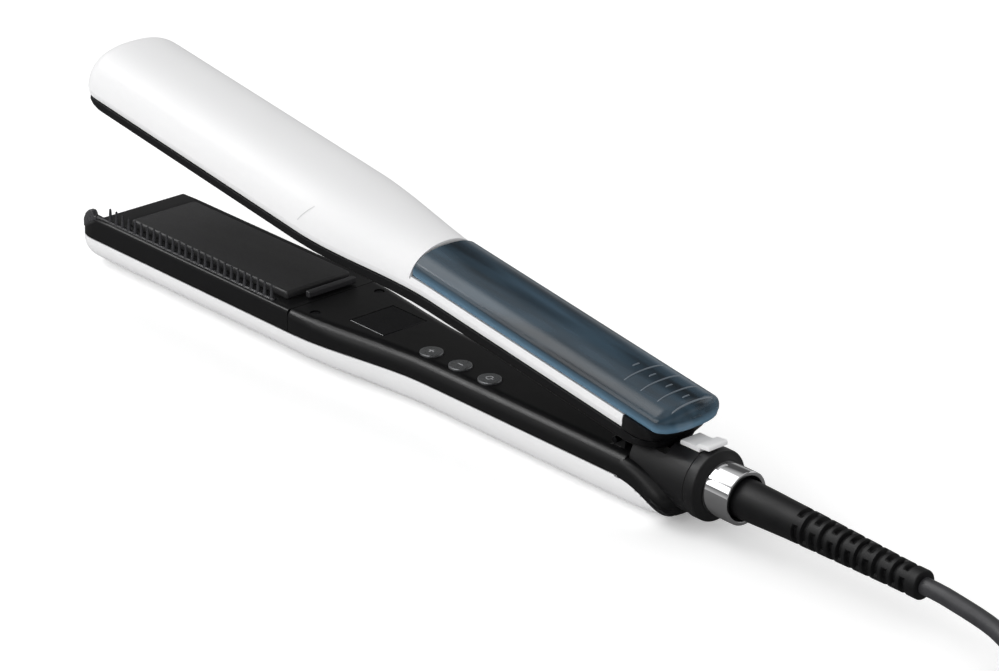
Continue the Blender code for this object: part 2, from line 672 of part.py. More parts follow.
def build_handle_frame():
    first = FRAME_SEAM_X + GAP
    frame = place("lower_handle_frame",
                  lower_frame_solid(first, FRAME_REAR, HANDLE_EDGE),
                  look=(SATIN_BLACK, 0.45))
    cavity = handle_hollow(first + SHELL_WALL, FRAME_REAR - SHELL_WALL)
    cut(frame, place("handle_cavity", cavity))
    window = slab(DISPLAY_FRONT - GAP, DISPLAY_REAR + GAP, -DISPLAY_HALF - GAP,
                  DISPLAY_HALF + GAP, -1 * MM, DISPLAY_THICK + GAP, LOWER)
    cut(frame, place("display_pocket", window))
    holes = []
    for i in range(3):
        centre = (BUTTON_X + i * BUTTON_PITCH, BUTTON_Y, FACE_Z - DECK - 1 * MM)
        holes.append(rod(centre, BUTTON_RADIUS + BUTTON_CLEAR, DECK + 3 * MM))
    for y in (-STOP_Y, STOP_Y):
        holes.append(rod((STOP_X, y, FACE_Z - STOP_SUNK - STOP_HEIGHT - GAP),
                         STOP_RADIUS + GAP, 3 * MM, segments=16))
    cut(frame, place("handle_holes", merge(holes)))
    ears = [ear(-OUTER_EAR[1], -OUTER_EAR[0], LOWER), ear(OUTER_EAR[0], OUTER_EAR[1], LOWER)]
    cut(frame, place("lower_ears", merge(ears)), 'UNION')
    cut(frame, place("lower_ear_bore", pin_bore(HINGE_Z)))
    return frame


def ear(y0, y1, arm, steps=10):
    """A hinge ear: a round knuckle on a foot that sinks into its arm's deck."""
    base, way = arm
    centre = HINGE_Z if way < 0 else 0.0
    rim = 0.0 if way < 0 else UPPER_RIM_HANDLE
    foot = base + way * (rim + DECK / 2)
    outline = [(KNUCKLE_RADIUS, foot)]
    for i in range(steps + 1):
        a = i * math.pi / steps
        outline.append((KNUCKLE_RADIUS * math.cos(a),
                        centre - way * KNUCKLE_RADIUS * math.sin(a)))
    outline.append((-KNUCKLE_RADIUS, foot))
    return prism(outline, y0, y1)


def pin_bore(z):
    reach = OUTER_EAR[1] + 2 * MM
    return rod((0, -reach, z), PIN_RADIUS + PIN_CLEAR, 2 * reach, 'Y')


def build_upper_frame():
    rings = []
    for x in stations(HEAD_TIP + BAND_TUCK + NOSE_START, STRIP_REAR, tuck=BAND_TUCK):
        rim = max(upper_rim(x), face_rise(x, upper_band(x) - 0.4 * MM))
        section = frame_section(half_width(x, 0.0, BAND_TUCK), rim, upper_band(x), UPPER_EDGE)
        rings.append(ring(x, section, UPPER))
    for share in STERN_SHARES:
        x = STRIP_REAR + (STERN_END - STRIP_REAR) * share
        low = stern_low(x, UPPER_RIM_HANDLE)
        foot = stern_half(x, low)
        top = stern_half(x, UPPER_BAND_HANDLE)
        edge = min(UPPER_EDGE, (UPPER_BAND_HANDLE - low) * 0.6, foot * 0.4)
        right = rounded_edge(foot, low, edge) + [(top, UPPER_BAND_HANDLE)]
        rings.append(ring(x, right + [(-y, d) for y, d in reversed(right)], UPPER))
    frame = place("upper_frame", loft(rings), PIVOT, (SATIN_BLACK, 0.42))
    clear = GAP + 0.1 * MM
    well = slab(PLATE_FRONT - clear, PLATE_REAR + clear, -PLATE_HALF - clear,
                PLATE_HALF + clear, -1 * MM, UPPER_BAND_HEAD + 1 * MM, UPPER)
    cut(frame, place("upper_plate_well", well, PIVOT))
    vents = []
    vent_y = CARRIER_HALF + GAP + MANIFOLD_WIDTH / 2
    for i in range(VENT_COUNT):
        x = PLATE_FRONT + VENT_START + i * VENT_PITCH
        vents.append(slab(x, x + VENT_LENGTH, vent_y - VENT_WIDTH / 2, vent_y + VENT_WIDTH / 2,
                          -1 * MM, UPPER_BAND_HEAD + 1 * MM, UPPER))
    cut(frame, place("steam_vents", merge(vents), PIVOT))
    ears = [ear(-INNER_EAR[1], -INNER_EAR[0], UPPER), ear(INNER_EAR[0], INNER_EAR[1], UPPER)]
    cut(frame, place("upper_ears", merge(ears), PIVOT), 'UNION')
    cut(frame, place("upper_ear_bore", pin_bore(0.0), PIVOT))
    return frame


# ------------------------------------------------------------------ plates and heaters

def build_plate_set(prefix, arm, parent, spring_floor):
    """Plate, heater and wave spring of one arm; spring_floor is the depth under the spring."""
    bottom = PLATE_THICK - PLATE_PROUD
    plate = slab(PLATE_FRONT, PLATE_REAR, -PLATE_HALF, PLATE_HALF, -PLATE_PROUD, bottom, arm,
                 PLATE_EDGE)
    place(prefix + "_plate", plate, parent, ((0.03, 0.03, 0.032), 0.55, 0.3))
    heater_top = bottom + GAP
    heater = slab(PLATE_FRONT + HEATER_INSET, PLATE_REAR - HEATER_INSET, -HEATER_HALF,
                  HEATER_HALF, heater_top, heater_top + HEATER_THICK, arm)
    place(prefix + "_heater", heater, parent, ((0.55, 0.55, 0.52), 0.4, 0.6))
    top = heater_top + HEATER_THICK + GAP
    low = spring_floor - GAP
    place(prefix + "_plate_spring", wave_spring(top, low, arm), parent,
          ((0.6, 0.6, 0.6), 0.3, 1.0))


def wave_spring(top, low, arm):
    """A spring strip that waves between two depths, along the plate."""
    base, way = arm
    first = PLATE_FRONT + SPRING_INSET
    length = PLATE_REAR - PLATE_FRONT - 2 * SPRING_INSET
    steps = SPRING_WAVES * 8
    upper, lower = [], []
    reach = (low - top - SPRING_STRIP) / 2
    middle = (low + top) / 2
    for i in range(steps + 1):
        x = first + length * i / steps
        depth = middle - reach * math.cos(2 * math.pi * SPRING_WAVES * i / steps)
        upper.append((x, base + way * (depth - SPRING_STRIP / 2)))
        lower.append((x, base + way * (depth + SPRING_STRIP / 2)))
    return prism(upper + lower[::-1], -SPRING_WIDTH / 2, SPRING_WIDTH / 2)


# ------------------------------------------------------------------ comb and small pieces

def build_comb():
    near = COMB_Y - COMB_RIB / 2
    front = COMB_FRONT
    foot = slab(front, COMB_REAR, near, near + COMB_FLANGE, COMB_FLANGE_TOP,
                COMB_FLANGE_TOP + COMB_FLANGE_THICK, LOWER)
    comb = place("comb", foot, look=(SATIN_BLACK, 0.4))
    rib = slab(front, COMB_REAR, near, near + COMB_RIB, -0.2 * MM,
               COMB_FLANGE_TOP + COMB_FLANGE_THICK / 2, LOWER)
    cut(comb, place("comb_rib", rib), 'UNION')
    teeth = []
    for i in range(TOOTH_COUNT):
        centre = (TOOTH_FIRST + i * TOOTH_PITCH, COMB_Y, FACE_Z - 0.3 * MM)
        teeth.append(rod(centre, TOOTH_RADIUS * 0.93, TOOTH_HEIGHT + 0.3 * MM, segments=6,
                         tip=TOOTH_RADIUS * 0.5))
    cut(comb, place("comb_teeth", merge(teeth)), 'UNION')
    reach = front - TAB_REACH
    notch = front - TAB_NOTCH
    low = FACE_Z - TAB_DROP
    crest = FACE_Z + TAB_TOP
    foot_low = FACE_Z - COMB_FLANGE_TOP - COMB_FLANGE_THICK + 0.2 * MM
    tab = [(front + 1 * MM, foot_low), (front + 1 * MM, FACE_Z - 0.3 * MM),
           (notch, FACE_Z - 0.3 * MM), (notch - TAB_CREST * 0.2, crest - 0.7 * MM),
           (notch - TAB_CREST / 2, crest), (notch - TAB_CREST * 1.2, crest - 0.2 * MM),
           (reach + 1.3 * MM, FACE_Z - 0.5 * MM), (reach, (FACE_Z + low) / 2), (reach, low),
           (reach + TAB_FOOT, low), (notch, foot_low)]
    cut(comb, place("comb_tab", prism(tab, near + 0.1 * MM, near + COMB_FLANGE - 0.1 * MM)),
        'UNION')
    return comb


def build_guard_bar():
    bar = slab(BAR_X - BAR_THICK / 2, BAR_X + BAR_THICK / 2, BAR_NEAR, BAR_FAR,
               -BAR_HEIGHT, -GAP, LOWER, 0.5 * MM)
    place("guard_bar", bar, look=(SATIN_BLACK, 0.35))


def build_stops():
    for side, y in (("near", -STOP_Y), ("far", STOP_Y)):
        pad = rod((STOP_X, y, FACE_Z - STOP_SUNK - STOP_HEIGHT), STOP_RADIUS, STOP_HEIGHT,
                  segments=16, bevel=0.2 * MM)
        place("stop_buffer_" + side, pad, look=(BLACK, 0.6))


def build_controls():
    window = slab(DISPLAY_FRONT, DISPLAY_REAR, -DISPLAY_HALF, DISPLAY_HALF,
                  0.0, DISPLAY_THICK, LOWER, 0.2 * MM)
    place("display_window", window, look=((0.01, 0.01, 0.012), 0.08))
    for i, name in enumerate(("button_plus", "button_minus", "button_power")):
        x = BUTTON_X + i * BUTTON_PITCH
        foot = BOARD_DEPTH - GAP - BUTTON_TRAVEL
        height = foot + BUTTON_PROUD
        cap = rod((x, BUTTON_Y, FACE_Z - foot), BUTTON_RADIUS, height, segments=28,
                  bevel=0.4 * MM)
        place(name, cap, look=((0.35, 0.36, 0.38), 0.3, 0.9))
    board_rear = BUTTON_X + 2 * BUTTON_PITCH + BOARD_END
    board = slab(DISPLAY_FRONT, board_rear, -BOARD_HALF, BOARD_HALF, BOARD_DEPTH,
                 BOARD_DEPTH + BOARD_THICK, LOWER)
    place("control_board", board, look=((0.02, 0.16, 0.06), 0.5))


def build_hinge():
    reach = OUTER_EAR[1] + 0.4 * MM
    pin = rod((0, -reach, HINGE_Z), PIN_RADIUS, 2 * reach, 'Y', bevel=0.2 * MM)
    place("hinge_pin", pin, look=((0.7, 0.7, 0.72), 0.25, 1.0))
    points = []
    steps = COIL_TURNS * 9
    length = COIL_PITCH * COIL_TURNS
    for i in range(steps + 1):
        angle = 2 * math.pi * COIL_TURNS * i / steps
        points.append(Vector((COIL_RADIUS * math.cos(angle), length * (i / steps - 0.5),
                              HINGE_Z + COIL_RADIUS * math.sin(angle))))
    gap = least_gap(points, COIL_WIRE, 9)
    print("hinge spring: least gap between its turns %.2f mm" % (gap / MM))
    tube("hinge_spring", points, COIL_WIRE, 1, ((0.55, 0.55, 0.56), 0.3, 1.0))


def least_gap(points, radius, per_turn):
    """Smallest distance between the surfaces of a tube's turns."""
    best = 1.0
    for i, a in enumerate(points):
        for b in points[i + per_turn // 2:]:
            best = min(best, (a - b).length - 2 * radius)
    return best


# ------------------------------------------------------------------ tail

def build_skirt():
    """What closes the shell around the barrel: the arm's own outline, cut to a crescent."""
    skirt = place("barrel_skirt", lower_solid(SWEEP_START, SHELL_REAR - 1 * MM, 0.0, 0.0))
    line = [(x + SKIRT_SEAM, z + SKIRT_SEAM) for x, z in rim_sweep(0.0)]
    back = [(x, z + SKIRT_SEAM) for x, z in rim_sweep(SKIRT_WIDTH)]
    wide = HANDLE_HALF + 5 * MM
    crescent = prism(line + back[::-1], -wide, wide)
    cut(skirt, place("skirt_crescent", crescent), 'INTERSECT')
    return skirt


def build_barrel():
    outer = BARREL_RADIUS
    profile = [(BARREL_FRONT, outer), (BARREL_REAR, outer), (BARREL_REAR, BARREL_BORE),
               (BARREL_FRONT, BARREL_BORE)]
    barrel = place("tail_barrel", lathe(profile), look=(BLACK, 0.35))
    cut(barrel, build_skirt(), 'UNION')
    bore = rod((BARREL_FRONT - 9 * MM, 0, BARREL_Z), BARREL_BORE, BARREL_REAR, 'X', segments=32)
    cut(barrel, place("skirt_bore", bore))
    wide = BARREL_RADIUS + 5 * MM
    over = BARREL_Z + 2 * BARREL_RADIUS
    step = box(BARREL_FRONT - 1 * MM, BARREL_STEP_X, -wide, wide, FACE_Z + BARREL_STEP_Z, over)
    cut(barrel, place("barrel_step", step))
    track = box(BARREL_STEP_X - 1 * MM, BARREL_REAR + 1 * MM, -LOCK_HALF - GAP,
                LOCK_HALF + GAP, LOCK_FLOOR, over)
    cut(barrel, place("lock_track", track))
    side = COLLAR_FRONT + COLLAR_LENGTH
    hole = BOOT_NECK + BOOT_CLEAR
    collar = [(COLLAR_FRONT, COLLAR_RADIUS - 0.5 * MM),
              (COLLAR_FRONT + 0.5 * MM, COLLAR_RADIUS), (side - 0.8 * MM, COLLAR_RADIUS),
              (side, COLLAR_RADIUS - 0.8 * MM), (COLLAR_REAR, RING_RADIUS + 0.3 * MM),
              (COLLAR_REAR, hole), (COLLAR_FRONT, hole)]
    place("tail_collar", lathe(collar), look=(BLACK, 0.3))
    shine = [(RING_FRONT, RING_RADIUS), (RING_REAR - 0.5 * MM, RING_RADIUS),
             (RING_REAR, RING_RADIUS - 0.5 * MM), (RING_REAR, RING_BORE + 0.5 * MM),
             (RING_REAR - 0.5 * MM, RING_BORE), (RING_FRONT, RING_BORE)]
    place("chrome_ring", lathe(shine, 40), look=((0.8, 0.8, 0.82), 0.08, 1.0))


def build_lock():
    """The lock's slider in its track on the barrel; its finger tab overhangs the collar."""
    bed = LOCK_FLOOR + GAP
    top = BARREL_Z + BARREL_RADIUS + LOCK_TOP
    tab = BARREL_Z + BARREL_RADIUS + LOCK_TAB
    over = BARREL_Z + COLLAR_RADIUS + GAP
    tip = LOCK_REAR + LOCK_OVERHANG
    outline = [(LOCK_FRONT, bed), (LOCK_REAR, bed), (LOCK_REAR, over), (tip, over + LOCK_EDGE),
               (tip, tab - LOCK_EDGE), (tip - LOCK_EDGE, tab),
               (LOCK_REAR - LOCK_EDGE, tab - LOCK_EDGE), (LOCK_REAR - 4 * LOCK_EDGE, top),
               (LOCK_FRONT + LOCK_EDGE, top), (LOCK_FRONT, top - LOCK_EDGE)]
    place("lock_slider", prism(outline, -LOCK_HALF, LOCK_HALF), look=(WHITE, 0.35))


# ------------------------------------------------------------------ water side

def tank_section(x, inset, keel):
    """The tank's outline: a keel between the strips, then the full width under a crown."""
    end = stern_end(STRIP_TOP) - inset
    half = min(HANDLE_HALF - GAP, stern_half(x + inset, STRIP_TOP)) - inset
    half = max(half, TANK_TIP)
    low = STRIP_TOP + GAP + inset
    fall = nose(-x, -end, TANK_STERN, CROWN_NOSE_POWER)
    fall = max(fall, TANK_TAIL)
    top = low + (TANK_TOP - inset - low) * fall
    crown = crown_section(half, 0.5 * MM, low, low + TANK_SIDE * fall, top, TANK_ROUND)
    narrow = min(KEEL_HALF - inset, half - 0.4 * MM)
    bottom = KEEL_LOW + inset if keel else low - 0.02 * MM
    right = [(narrow, bottom), (narrow, low)]
    return right + crown + [(-y, d) for y, d in reversed(right)]


def tank_solid(first, last, inset):
    """The keel ends in a ramp, along which the tank slides up and back."""
    rings = []
    for x in (first, first + 0.6 * MM, first + 20 * MM, KEEL_REAR - 3 * KEEL_RUN,
              KEEL_REAR - KEEL_RUN):
        rings.append(ring(x, tank_section(x, inset, True), UPPER))
    after = last - KEEL_REAR
    for share in (0.0, 0.35, 0.6, 0.74, 0.85, 0.93, 1.0):
        x = KEEL_REAR + after * share
        rings.append(ring(x, tank_section(x, inset, False), UPPER))
    return loft(rings)


def build_tank():
    rear = stern_end(STRIP_TOP)
    tank = place("water_tank", tank_solid(TANK_FRONT, rear - 0.1 * MM, 0.0), PIVOT,
                 ((0.03, 0.06, 0.10), 0.08, 0.0, 0.6))
    inner = tank_solid(TANK_FRONT + TANK_WALL, rear - TANK_WALL - 1.0 * MM, TANK_WALL)
    cut(tank, place("tank_inside", inner, PIVOT))
    hole = rod((FILLER_X, 0, UPPER[0] + KEEL_LOW - 1 * MM), FILLER_BORE, TANK_WALL + 2 * MM)
    outlet = rod((TANK_FRONT - 1 * MM, 0, UPPER[0] + WATER_LINE), PORT_RADIUS,
                 TANK_WALL + 2 * MM, 'X', segments=20)
    cut(tank, place("tank_filler_hole", merge([hole, outlet]), PIVOT))
    plug = rod((FILLER_X, 0, UPPER[0] + KEEL_LOW + 0.1 * MM), FILLER_BORE - GAP,
               TANK_WALL + 0.4 * MM, bevel=0.3 * MM)
    place("tank_plug", plug, PIVOT, ((0.08, 0.08, 0.09), 0.6))


def cradle_ring(x, low, top, half_low, half_top):
    middle = (low + top) / 2
    right = [(half_low, low), ((half_low + half_top) / 2, middle), (half_top, top)]
    return ring(x, right + [(-y, d) for y, d in reversed(right)], UPPER)


def build_cradle():
    """The tray under the tank, which becomes the arm's stern behind the side strips."""
    low = UPPER_BAND_HANDLE + GAP
    deck = KEEL_LOW - GAP
    inside = HANDLE_HALF - SHELL_WALL - FACET_INSET - GAP
    rings = [cradle_ring(TANK_FRONT, low, deck, inside, inside),
             cradle_ring(KEEL_REAR - KEEL_RUN, low, deck, inside, inside),
             cradle_ring(KEEL_REAR, low, STRIP_TOP, inside, inside - FACET_INSET),
             cradle_ring(STRIP_REAR + GAP, low, STRIP_TOP, inside, inside - FACET_INSET)]
    first = STRIP_REAR + GAP + 0.02 * MM
    for share in (0.0, 0.3, 0.5, 0.66, 0.78, 0.87, 0.94, 1.0):
        x = first + (stern_end(STRIP_TOP) - 0.5 * MM - first) * share
        foot = min(stern_low(x, low), STRIP_TOP - 0.8 * MM)
        rings.append(cradle_ring(x, foot, STRIP_TOP, max(stern_half(x, foot), 2 * MM),
                                 stern_half(x, STRIP_TOP)))
    return place("tank_cradle", loft(rings), PIVOT, (SATIN_BLACK, 0.45))


def build_steam_works():
    """What the upper arm holds between its frame and its shell, from the nose to the tank."""
    carrier = slab(PLATE_FRONT - CARRIER_LIP, PLATE_REAR + CARRIER_LIP, -CARRIER_HALF,
                   CARRIER_HALF,
                   UPPER_BAND_HEAD + GAP, PLATE_WELL + CARRIER_FLOOR, UPPER, 0.4 * MM)
    carrier = place("plate_carrier", carrier, PIVOT, ((0.5, 0.42, 0.3), 0.6))
    clear = GAP + 0.1 * MM
    pocket = slab(PLATE_FRONT - clear, PLATE_REAR + clear, -PLATE_HALF - clear,
                  PLATE_HALF + clear, 0, PLATE_WELL, UPPER)
    cut(carrier, place("carrier_pocket", pocket, PIVOT))

    over = PLATE_WELL + CARRIER_FLOOR + GAP
    chamber = slab(CHAMBER_REAR - CHAMBER_LENGTH, CHAMBER_REAR, -CHAMBER_HALF, CHAMBER_HALF,
                   over, over + CHAMBER_HEIGHT, UPPER, 0.8 * MM)
    place("steam_chamber", chamber, PIVOT, ((0.6, 0.6, 0.6), 0.4, 0.9))

    near = CARRIER_HALF + GAP
    manifold = slab(PLATE_FRONT + CARRIER_LIP, PLATE_REAR, near, near + MANIFOLD_WIDTH,
                    UPPER_BAND_HEAD + GAP, UPPER_BAND_HEAD + GAP + MANIFOLD_HEIGHT, UPPER)
    place("steam_manifold", manifold, PIVOT, ((0.1, 0.1, 0.1), 0.5))

    middle = UPPER[0] + WATER_LINE
    pump = rod((PUMP_FRONT, 0, middle), PUMP_RADIUS, PUMP_LENGTH, 'X', segments=20,
               bevel=0.6 * MM)
    place("water_pump", pump, PIVOT, ((0.75, 0.75, 0.73), 0.5))
    rest_rear = PUMP_FRONT + PUMP_LENGTH - SADDLE_INSET
    rest = slab(PUMP_FRONT + SADDLE_INSET, rest_rear, -PUMP_RADIUS, PUMP_RADIUS,
                upper_band(rest_rear) + GAP, WATER_LINE - PUMP_RADIUS * 0.5, UPPER)
    rest = place("pump_saddle", rest, PIVOT, ((0.05, 0.05, 0.05), 0.7))
    seat = rod((PUMP_FRONT, 0, middle), PUMP_RADIUS + GAP, PUMP_LENGTH, 'X', segments=20)
    cut(rest, place("pump_seat", seat, PIVOT))

    inset = SHELL_WALL + GAP
    rear = BULKHEAD_FRONT + BULKHEAD_THICK
    low = upper_band(rear) + GAP
    rings = [ring(x, upper_section(x, inset, low), UPPER) for x in (BULKHEAD_FRONT, rear)]
    bulkhead = place("tank_bulkhead", loft(rings), PIVOT, (SATIN_BLACK, 0.5))
    port = rod((BULKHEAD_FRONT - 1 * MM, 0, middle), HOSE_RADIUS, BULKHEAD_THICK + 2 * MM,
               'X', segments=16)
    cut(bulkhead, place("bulkhead_port", port, PIVOT))

    seal = rod((SEAL_FRONT, 0, middle), SEAL_RADIUS, SEAL_THICK, 'X', segments=20)
    seal = place("tank_seal", seal, PIVOT, ((0.5, 0.1, 0.08), 0.7))
    bore = rod((SEAL_FRONT - 1 * MM, 0, middle), HOSE_RADIUS, SEAL_THICK + 2 * MM, 'X',
               segments=16)
    cut(seal, place("seal_bore", bore, PIVOT))

    pump_rear = PUMP_FRONT + PUMP_LENGTH
    inlet = [Vector((BULKHEAD_FRONT - GAP - i * (BULKHEAD_FRONT - 2 * GAP - pump_rear) / 4, 0,
                     middle)) for i in range(5)]
    tube("inlet_hose", inlet, HOSE_RADIUS, 1, ((0.7, 0.7, 0.68), 0.4), PIVOT)
    outlet_end = Vector((CHAMBER_REAR + GAP, 0, UPPER[0] + over + CHAMBER_HEIGHT / 2))
    outlet_start = Vector((PUMP_FRONT - GAP, 0, middle))
    span = outlet_end - outlet_start
    outlet = [outlet_start + Vector((span.x * i / 8, 0, span.z * smooth(0, 8, i)))
              for i in range(9)]
    tube("outlet_hose", outlet, HOSE_RADIUS, 1, ((0.7, 0.7, 0.68), 0.4), PIVOT)


# ------------------------------------------------------------------ boot, cord and plug

def boot_axis(x):
    """Height of the boot's axis, which bends down a little towards the cord."""
    return BARREL_Z - BOOT_DROOP * smooth(DROOP_START, DROOP_END, x)


def build_boot():
    segments = 20
    least = math.cos(math.radians(RIB_GROOVE_HALF))
    rings = []

    def add(x, radius, groove=None):
        points = []
        for i in range(segments):
            a = 2 * math.pi * i / segments
            r = radius
            if groove is not None and math.cos(a - groove) > least:
                r -= RIB_GROOVE_DEPTH
            points.append(Vector((x, r * math.cos(a), boot_axis(x) + r * math.sin(a))))
        rings.append(points)

    back = COLLAR_FRONT - GAP
    add(back - BOOT_FLANGE_THICK, BOOT_FLANGE)
    add(back, BOOT_FLANGE)
    add(back + 0.01 * MM, BOOT_NECK)
    add(RING_REAR, BOOT_NECK)
    add(RING_REAR + 8 * MM, BOOT_NECK - 0.15 * MM)
    add(BOOT_BODY_END, BOOT_WAIST)
    pitch = (BOOT_RIBS_END - BOOT_BODY_END) / RIB_GROOVES
    slot = pitch * RIB_GROOVE_SHARE
    for k in range(RIB_GROOVES * 2):
        x = BOOT_BODY_END + pitch * (k + 0.5) / 2
        share = (x - BOOT_BODY_END) / (BOOT_RIBS_END - BOOT_BODY_END)
        radius = BOOT_WAIST + (BOOT_TIP - BOOT_WAIST) * share
        side = math.pi / 2 if k % 2 else -math.pi / 2
        add(x - slot / 2, radius)
        add(x - slot / 2 + 0.02 * MM, radius, side)
        add(x + slot / 2 - 0.02 * MM, radius, side)
        add(x + slot / 2, radius)
    add(BOOT_RIBS_END, BOOT_TIP)
    add(BOOT_END - BOOT_TIP_EDGE, BOOT_TIP)
    add(BOOT_END, BOOT_TIP - BOOT_TIP_EDGE)
    place("cord_boot", loft(rings), look=((0.015, 0.015, 0.016), 0.55), sharp=30)
    return Vector((BOOT_END + GAP, 0, boot_axis(BOOT_END)))


def spline_points(route, spacing):
    """Points a steady distance apart on a smooth curve through the route's own points."""
    dense = []
    padded = [2 * route[0] - route[1]] + route + [2 * route[-1] - route[-2]]
    for a, b, c, d in zip(padded, padded[1:], padded[2:], padded[3:]):
        for i in range(24):
            t = i / 24
            dense.append(0.5 * (2 * b + (c - a) * t + (2 * a - 5 * b + 4 * c - d) * t * t
                                + (3 * b - a - 3 * c + d) * t ** 3))
    dense.append(route[-1])
    kept = [dense[0]]
    for point in dense[1:-1]:
        if (point - kept[-1]).length >= spacing:
            kept.append(point)
    if (dense[-1] - kept[-1]).length < spacing * 0.5:
        kept.pop()
    kept.append(dense[-1])
    return kept


def hank_point(radius, share):
    """A point on a long loop round the hank's middle, from the start of its near run."""
    run, bend = 3, 9                # steps in a straight run and in an end bend
    step = share * 2 * (run + bend)
    turned = step > run + bend
    step -= (run + bend) * turned
    if step <= run:
        x, y = HANK_RUN * (step / run - 0.5), -radius
    else:
        angle = math.pi * (step - run) / bend - math.pi / 2
        x, y = HANK_RUN / 2 + radius * math.cos(angle), radius * math.sin(angle)
    return (-x, -y) if turned else (x, y)


def hank_points():
    """Three layers of long turns: inwards on the floor, then outwards, then inwards."""
    per_turn = 24
    points = []
    for i in range(HANK_TURNS * per_turn + 1):
        turn = i / per_turn
        layer = turn / HANK_DEPTH
        away = layer % 2
        depth = away if away <= 1 else 2 - away
        radius = HANK_OUTER - HANK_PITCH * HANK_DEPTH * depth
        climb = sum(smooth(k * HANK_DEPTH - 0.25, k * HANK_DEPTH + 0.25, turn)
                    for k in range(1, HANK_LAYERS))
        x, y = hank_point(radius, turn % 1.0)
        points.append(Vector((HANK_X + x, y, HANK_FLOOR + HANK_PITCH * climb)))
    return points


def build_cord(start):
    look = ((0.014, 0.014, 0.015), 0.5)
    hank = hank_points()
    print("cord hank: least gap between its turns %.2f mm"
          % (least_gap(hank, CORD_RADIUS, 24) / MM))
    tube("cord_coil", hank, CORD_RADIUS, 1, look)
    end = hank[0] - GAP * (hank[1] - hank[0]).normalized()
    route = [start, start + Vector((10 * MM, 0, -0.5 * MM)),
             Vector((159 * MM, -0.5 * MM, 11.6 * MM)), Vector((173 * MM, -5.0 * MM, 8.0 * MM)),
             Vector((186 * MM, -13.5 * MM, 5.2 * MM)), Vector((199 * MM, -23.2 * MM, 4.1 * MM)),
             Vector((210 * MM, -28.2 * MM, 3.9 * MM)), end]
    tube("cord", spline_points(route, 7 * MM), CORD_RADIUS, 2, look)
    return hank


def build_tie():
    outer = HANK_OUTER + CORD_RADIUS + GAP
    top = HANK_TOP + GAP
    band = box(HANK_X - TIE_WIDTH / 2, HANK_X + TIE_WIDTH / 2, -outer - TIE_THICK,
               outer + TIE_THICK, 0, top + TIE_THICK, 0.3 * MM, 1)
    tie = place("coil_tie", band, look=((0.02, 0.02, 0.02), 0.8))
    hollow = box(HANK_X - TIE_WIDTH, HANK_X + TIE_WIDTH, -outer, outer, TIE_THICK, top)
    cut(tie, place("tie_hollow", hollow))


def build_plug(hank):
    """The lead's end rises off the hank into a flat two-pin plug that lies on it."""
    look = ((0.014, 0.014, 0.015), 0.5)
    way = (hank[-1] - hank[-2]).normalized()
    start = hank[-1] + GAP * way
    neck = Vector((HANK_X + 12 * MM, 0, HANK_TOP + GAP + PLUG_HIGH))
    rise = neck.z - start.z
    route = [start, start + 7 * MM * way + Vector((0, 0, 0.2 * MM)),
             Vector((HANK_X - 18 * MM, start.y * 0.78, start.z + rise * 0.33)),
             Vector((HANK_X - 6 * MM, start.y * 0.34, start.z + rise * 0.79)),
             neck - Vector((7 * MM, -start.y * 0.01, 0.1 * MM)), neck]
    tube("cord_end", spline_points(route, 7 * MM), CORD_RADIUS, 2, look)
    rings = []
    for part, wide, high in PLUG_SECTIONS:
        points = []
        for i in range(16):
            a = 2 * math.pi * (i + 0.5) / 16
            c, s = math.cos(a), math.sin(a)
            points.append(Vector((neck.x + GAP + part * PLUG_LENGTH,
                                  neck.y + wide * math.copysign(abs(c) ** PLUG_SQUARE, c),
                                  neck.z + high * math.copysign(abs(s) ** PLUG_SQUARE, s))))
        rings.append(points)
    place("plug_body", loft(rings), look=((0.015, 0.015, 0.016), 0.45))
    face = neck.x + GAP + PLUG_LENGTH + GAP
    for side, sign in (("near", -1), ("far", 1)):
        centre = (face, neck.y + sign * PLUG_PIN_SPACING / 2, neck.z)
        place("plug_pin_" + side, rod(centre, PLUG_PIN_RADIUS, PLUG_PIN_LENGTH, 'X',
                                      segments=16, bevel=0.5 * MM),
              look=((0.75, 0.72, 0.65), 0.25, 1.0))


# ------------------------------------------------------------------ the whole tool

clear_scene()
PARTS = new_collection("steam_hair_straightener")
CUTTERS = new_collection("cutters")
PIVOT = bpy.data.objects.new("upper_arm_pivot", None)
PIVOT.location = (0, 0, HINGE_Z)
PIVOT.rotation_euler = (0, OPEN_ANGLE, 0)
PARTS.objects.link(PIVOT)

build_lower_shell()
build_head_frame()
build_handle_frame()
build_plate_set("lower", LOWER, None, PLATE_WELL)
build_comb()
build_guard_bar()
build_stops()
build_controls()
build_hinge()
build_barrel()
build_lock()

build_upper_shell()
build_upper_frame()
build_plate_set("upper", UPPER, PIVOT, PLATE_WELL)
build_cradle()
build_tank()
build_steam_works()

cord_start = build_boot()
cord_hank = build_cord(cord_start)
build_tie()
build_plug(cord_hank)
bpy.context.view_layer.update()
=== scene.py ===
"""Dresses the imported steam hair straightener: finishes, finer skins, the lead and the studio."""
import json
import math

import bmesh
import bpy
from bpy.props import FloatProperty, FloatVectorProperty, IntProperty, PointerProperty
from mathutils import Matrix, Vector


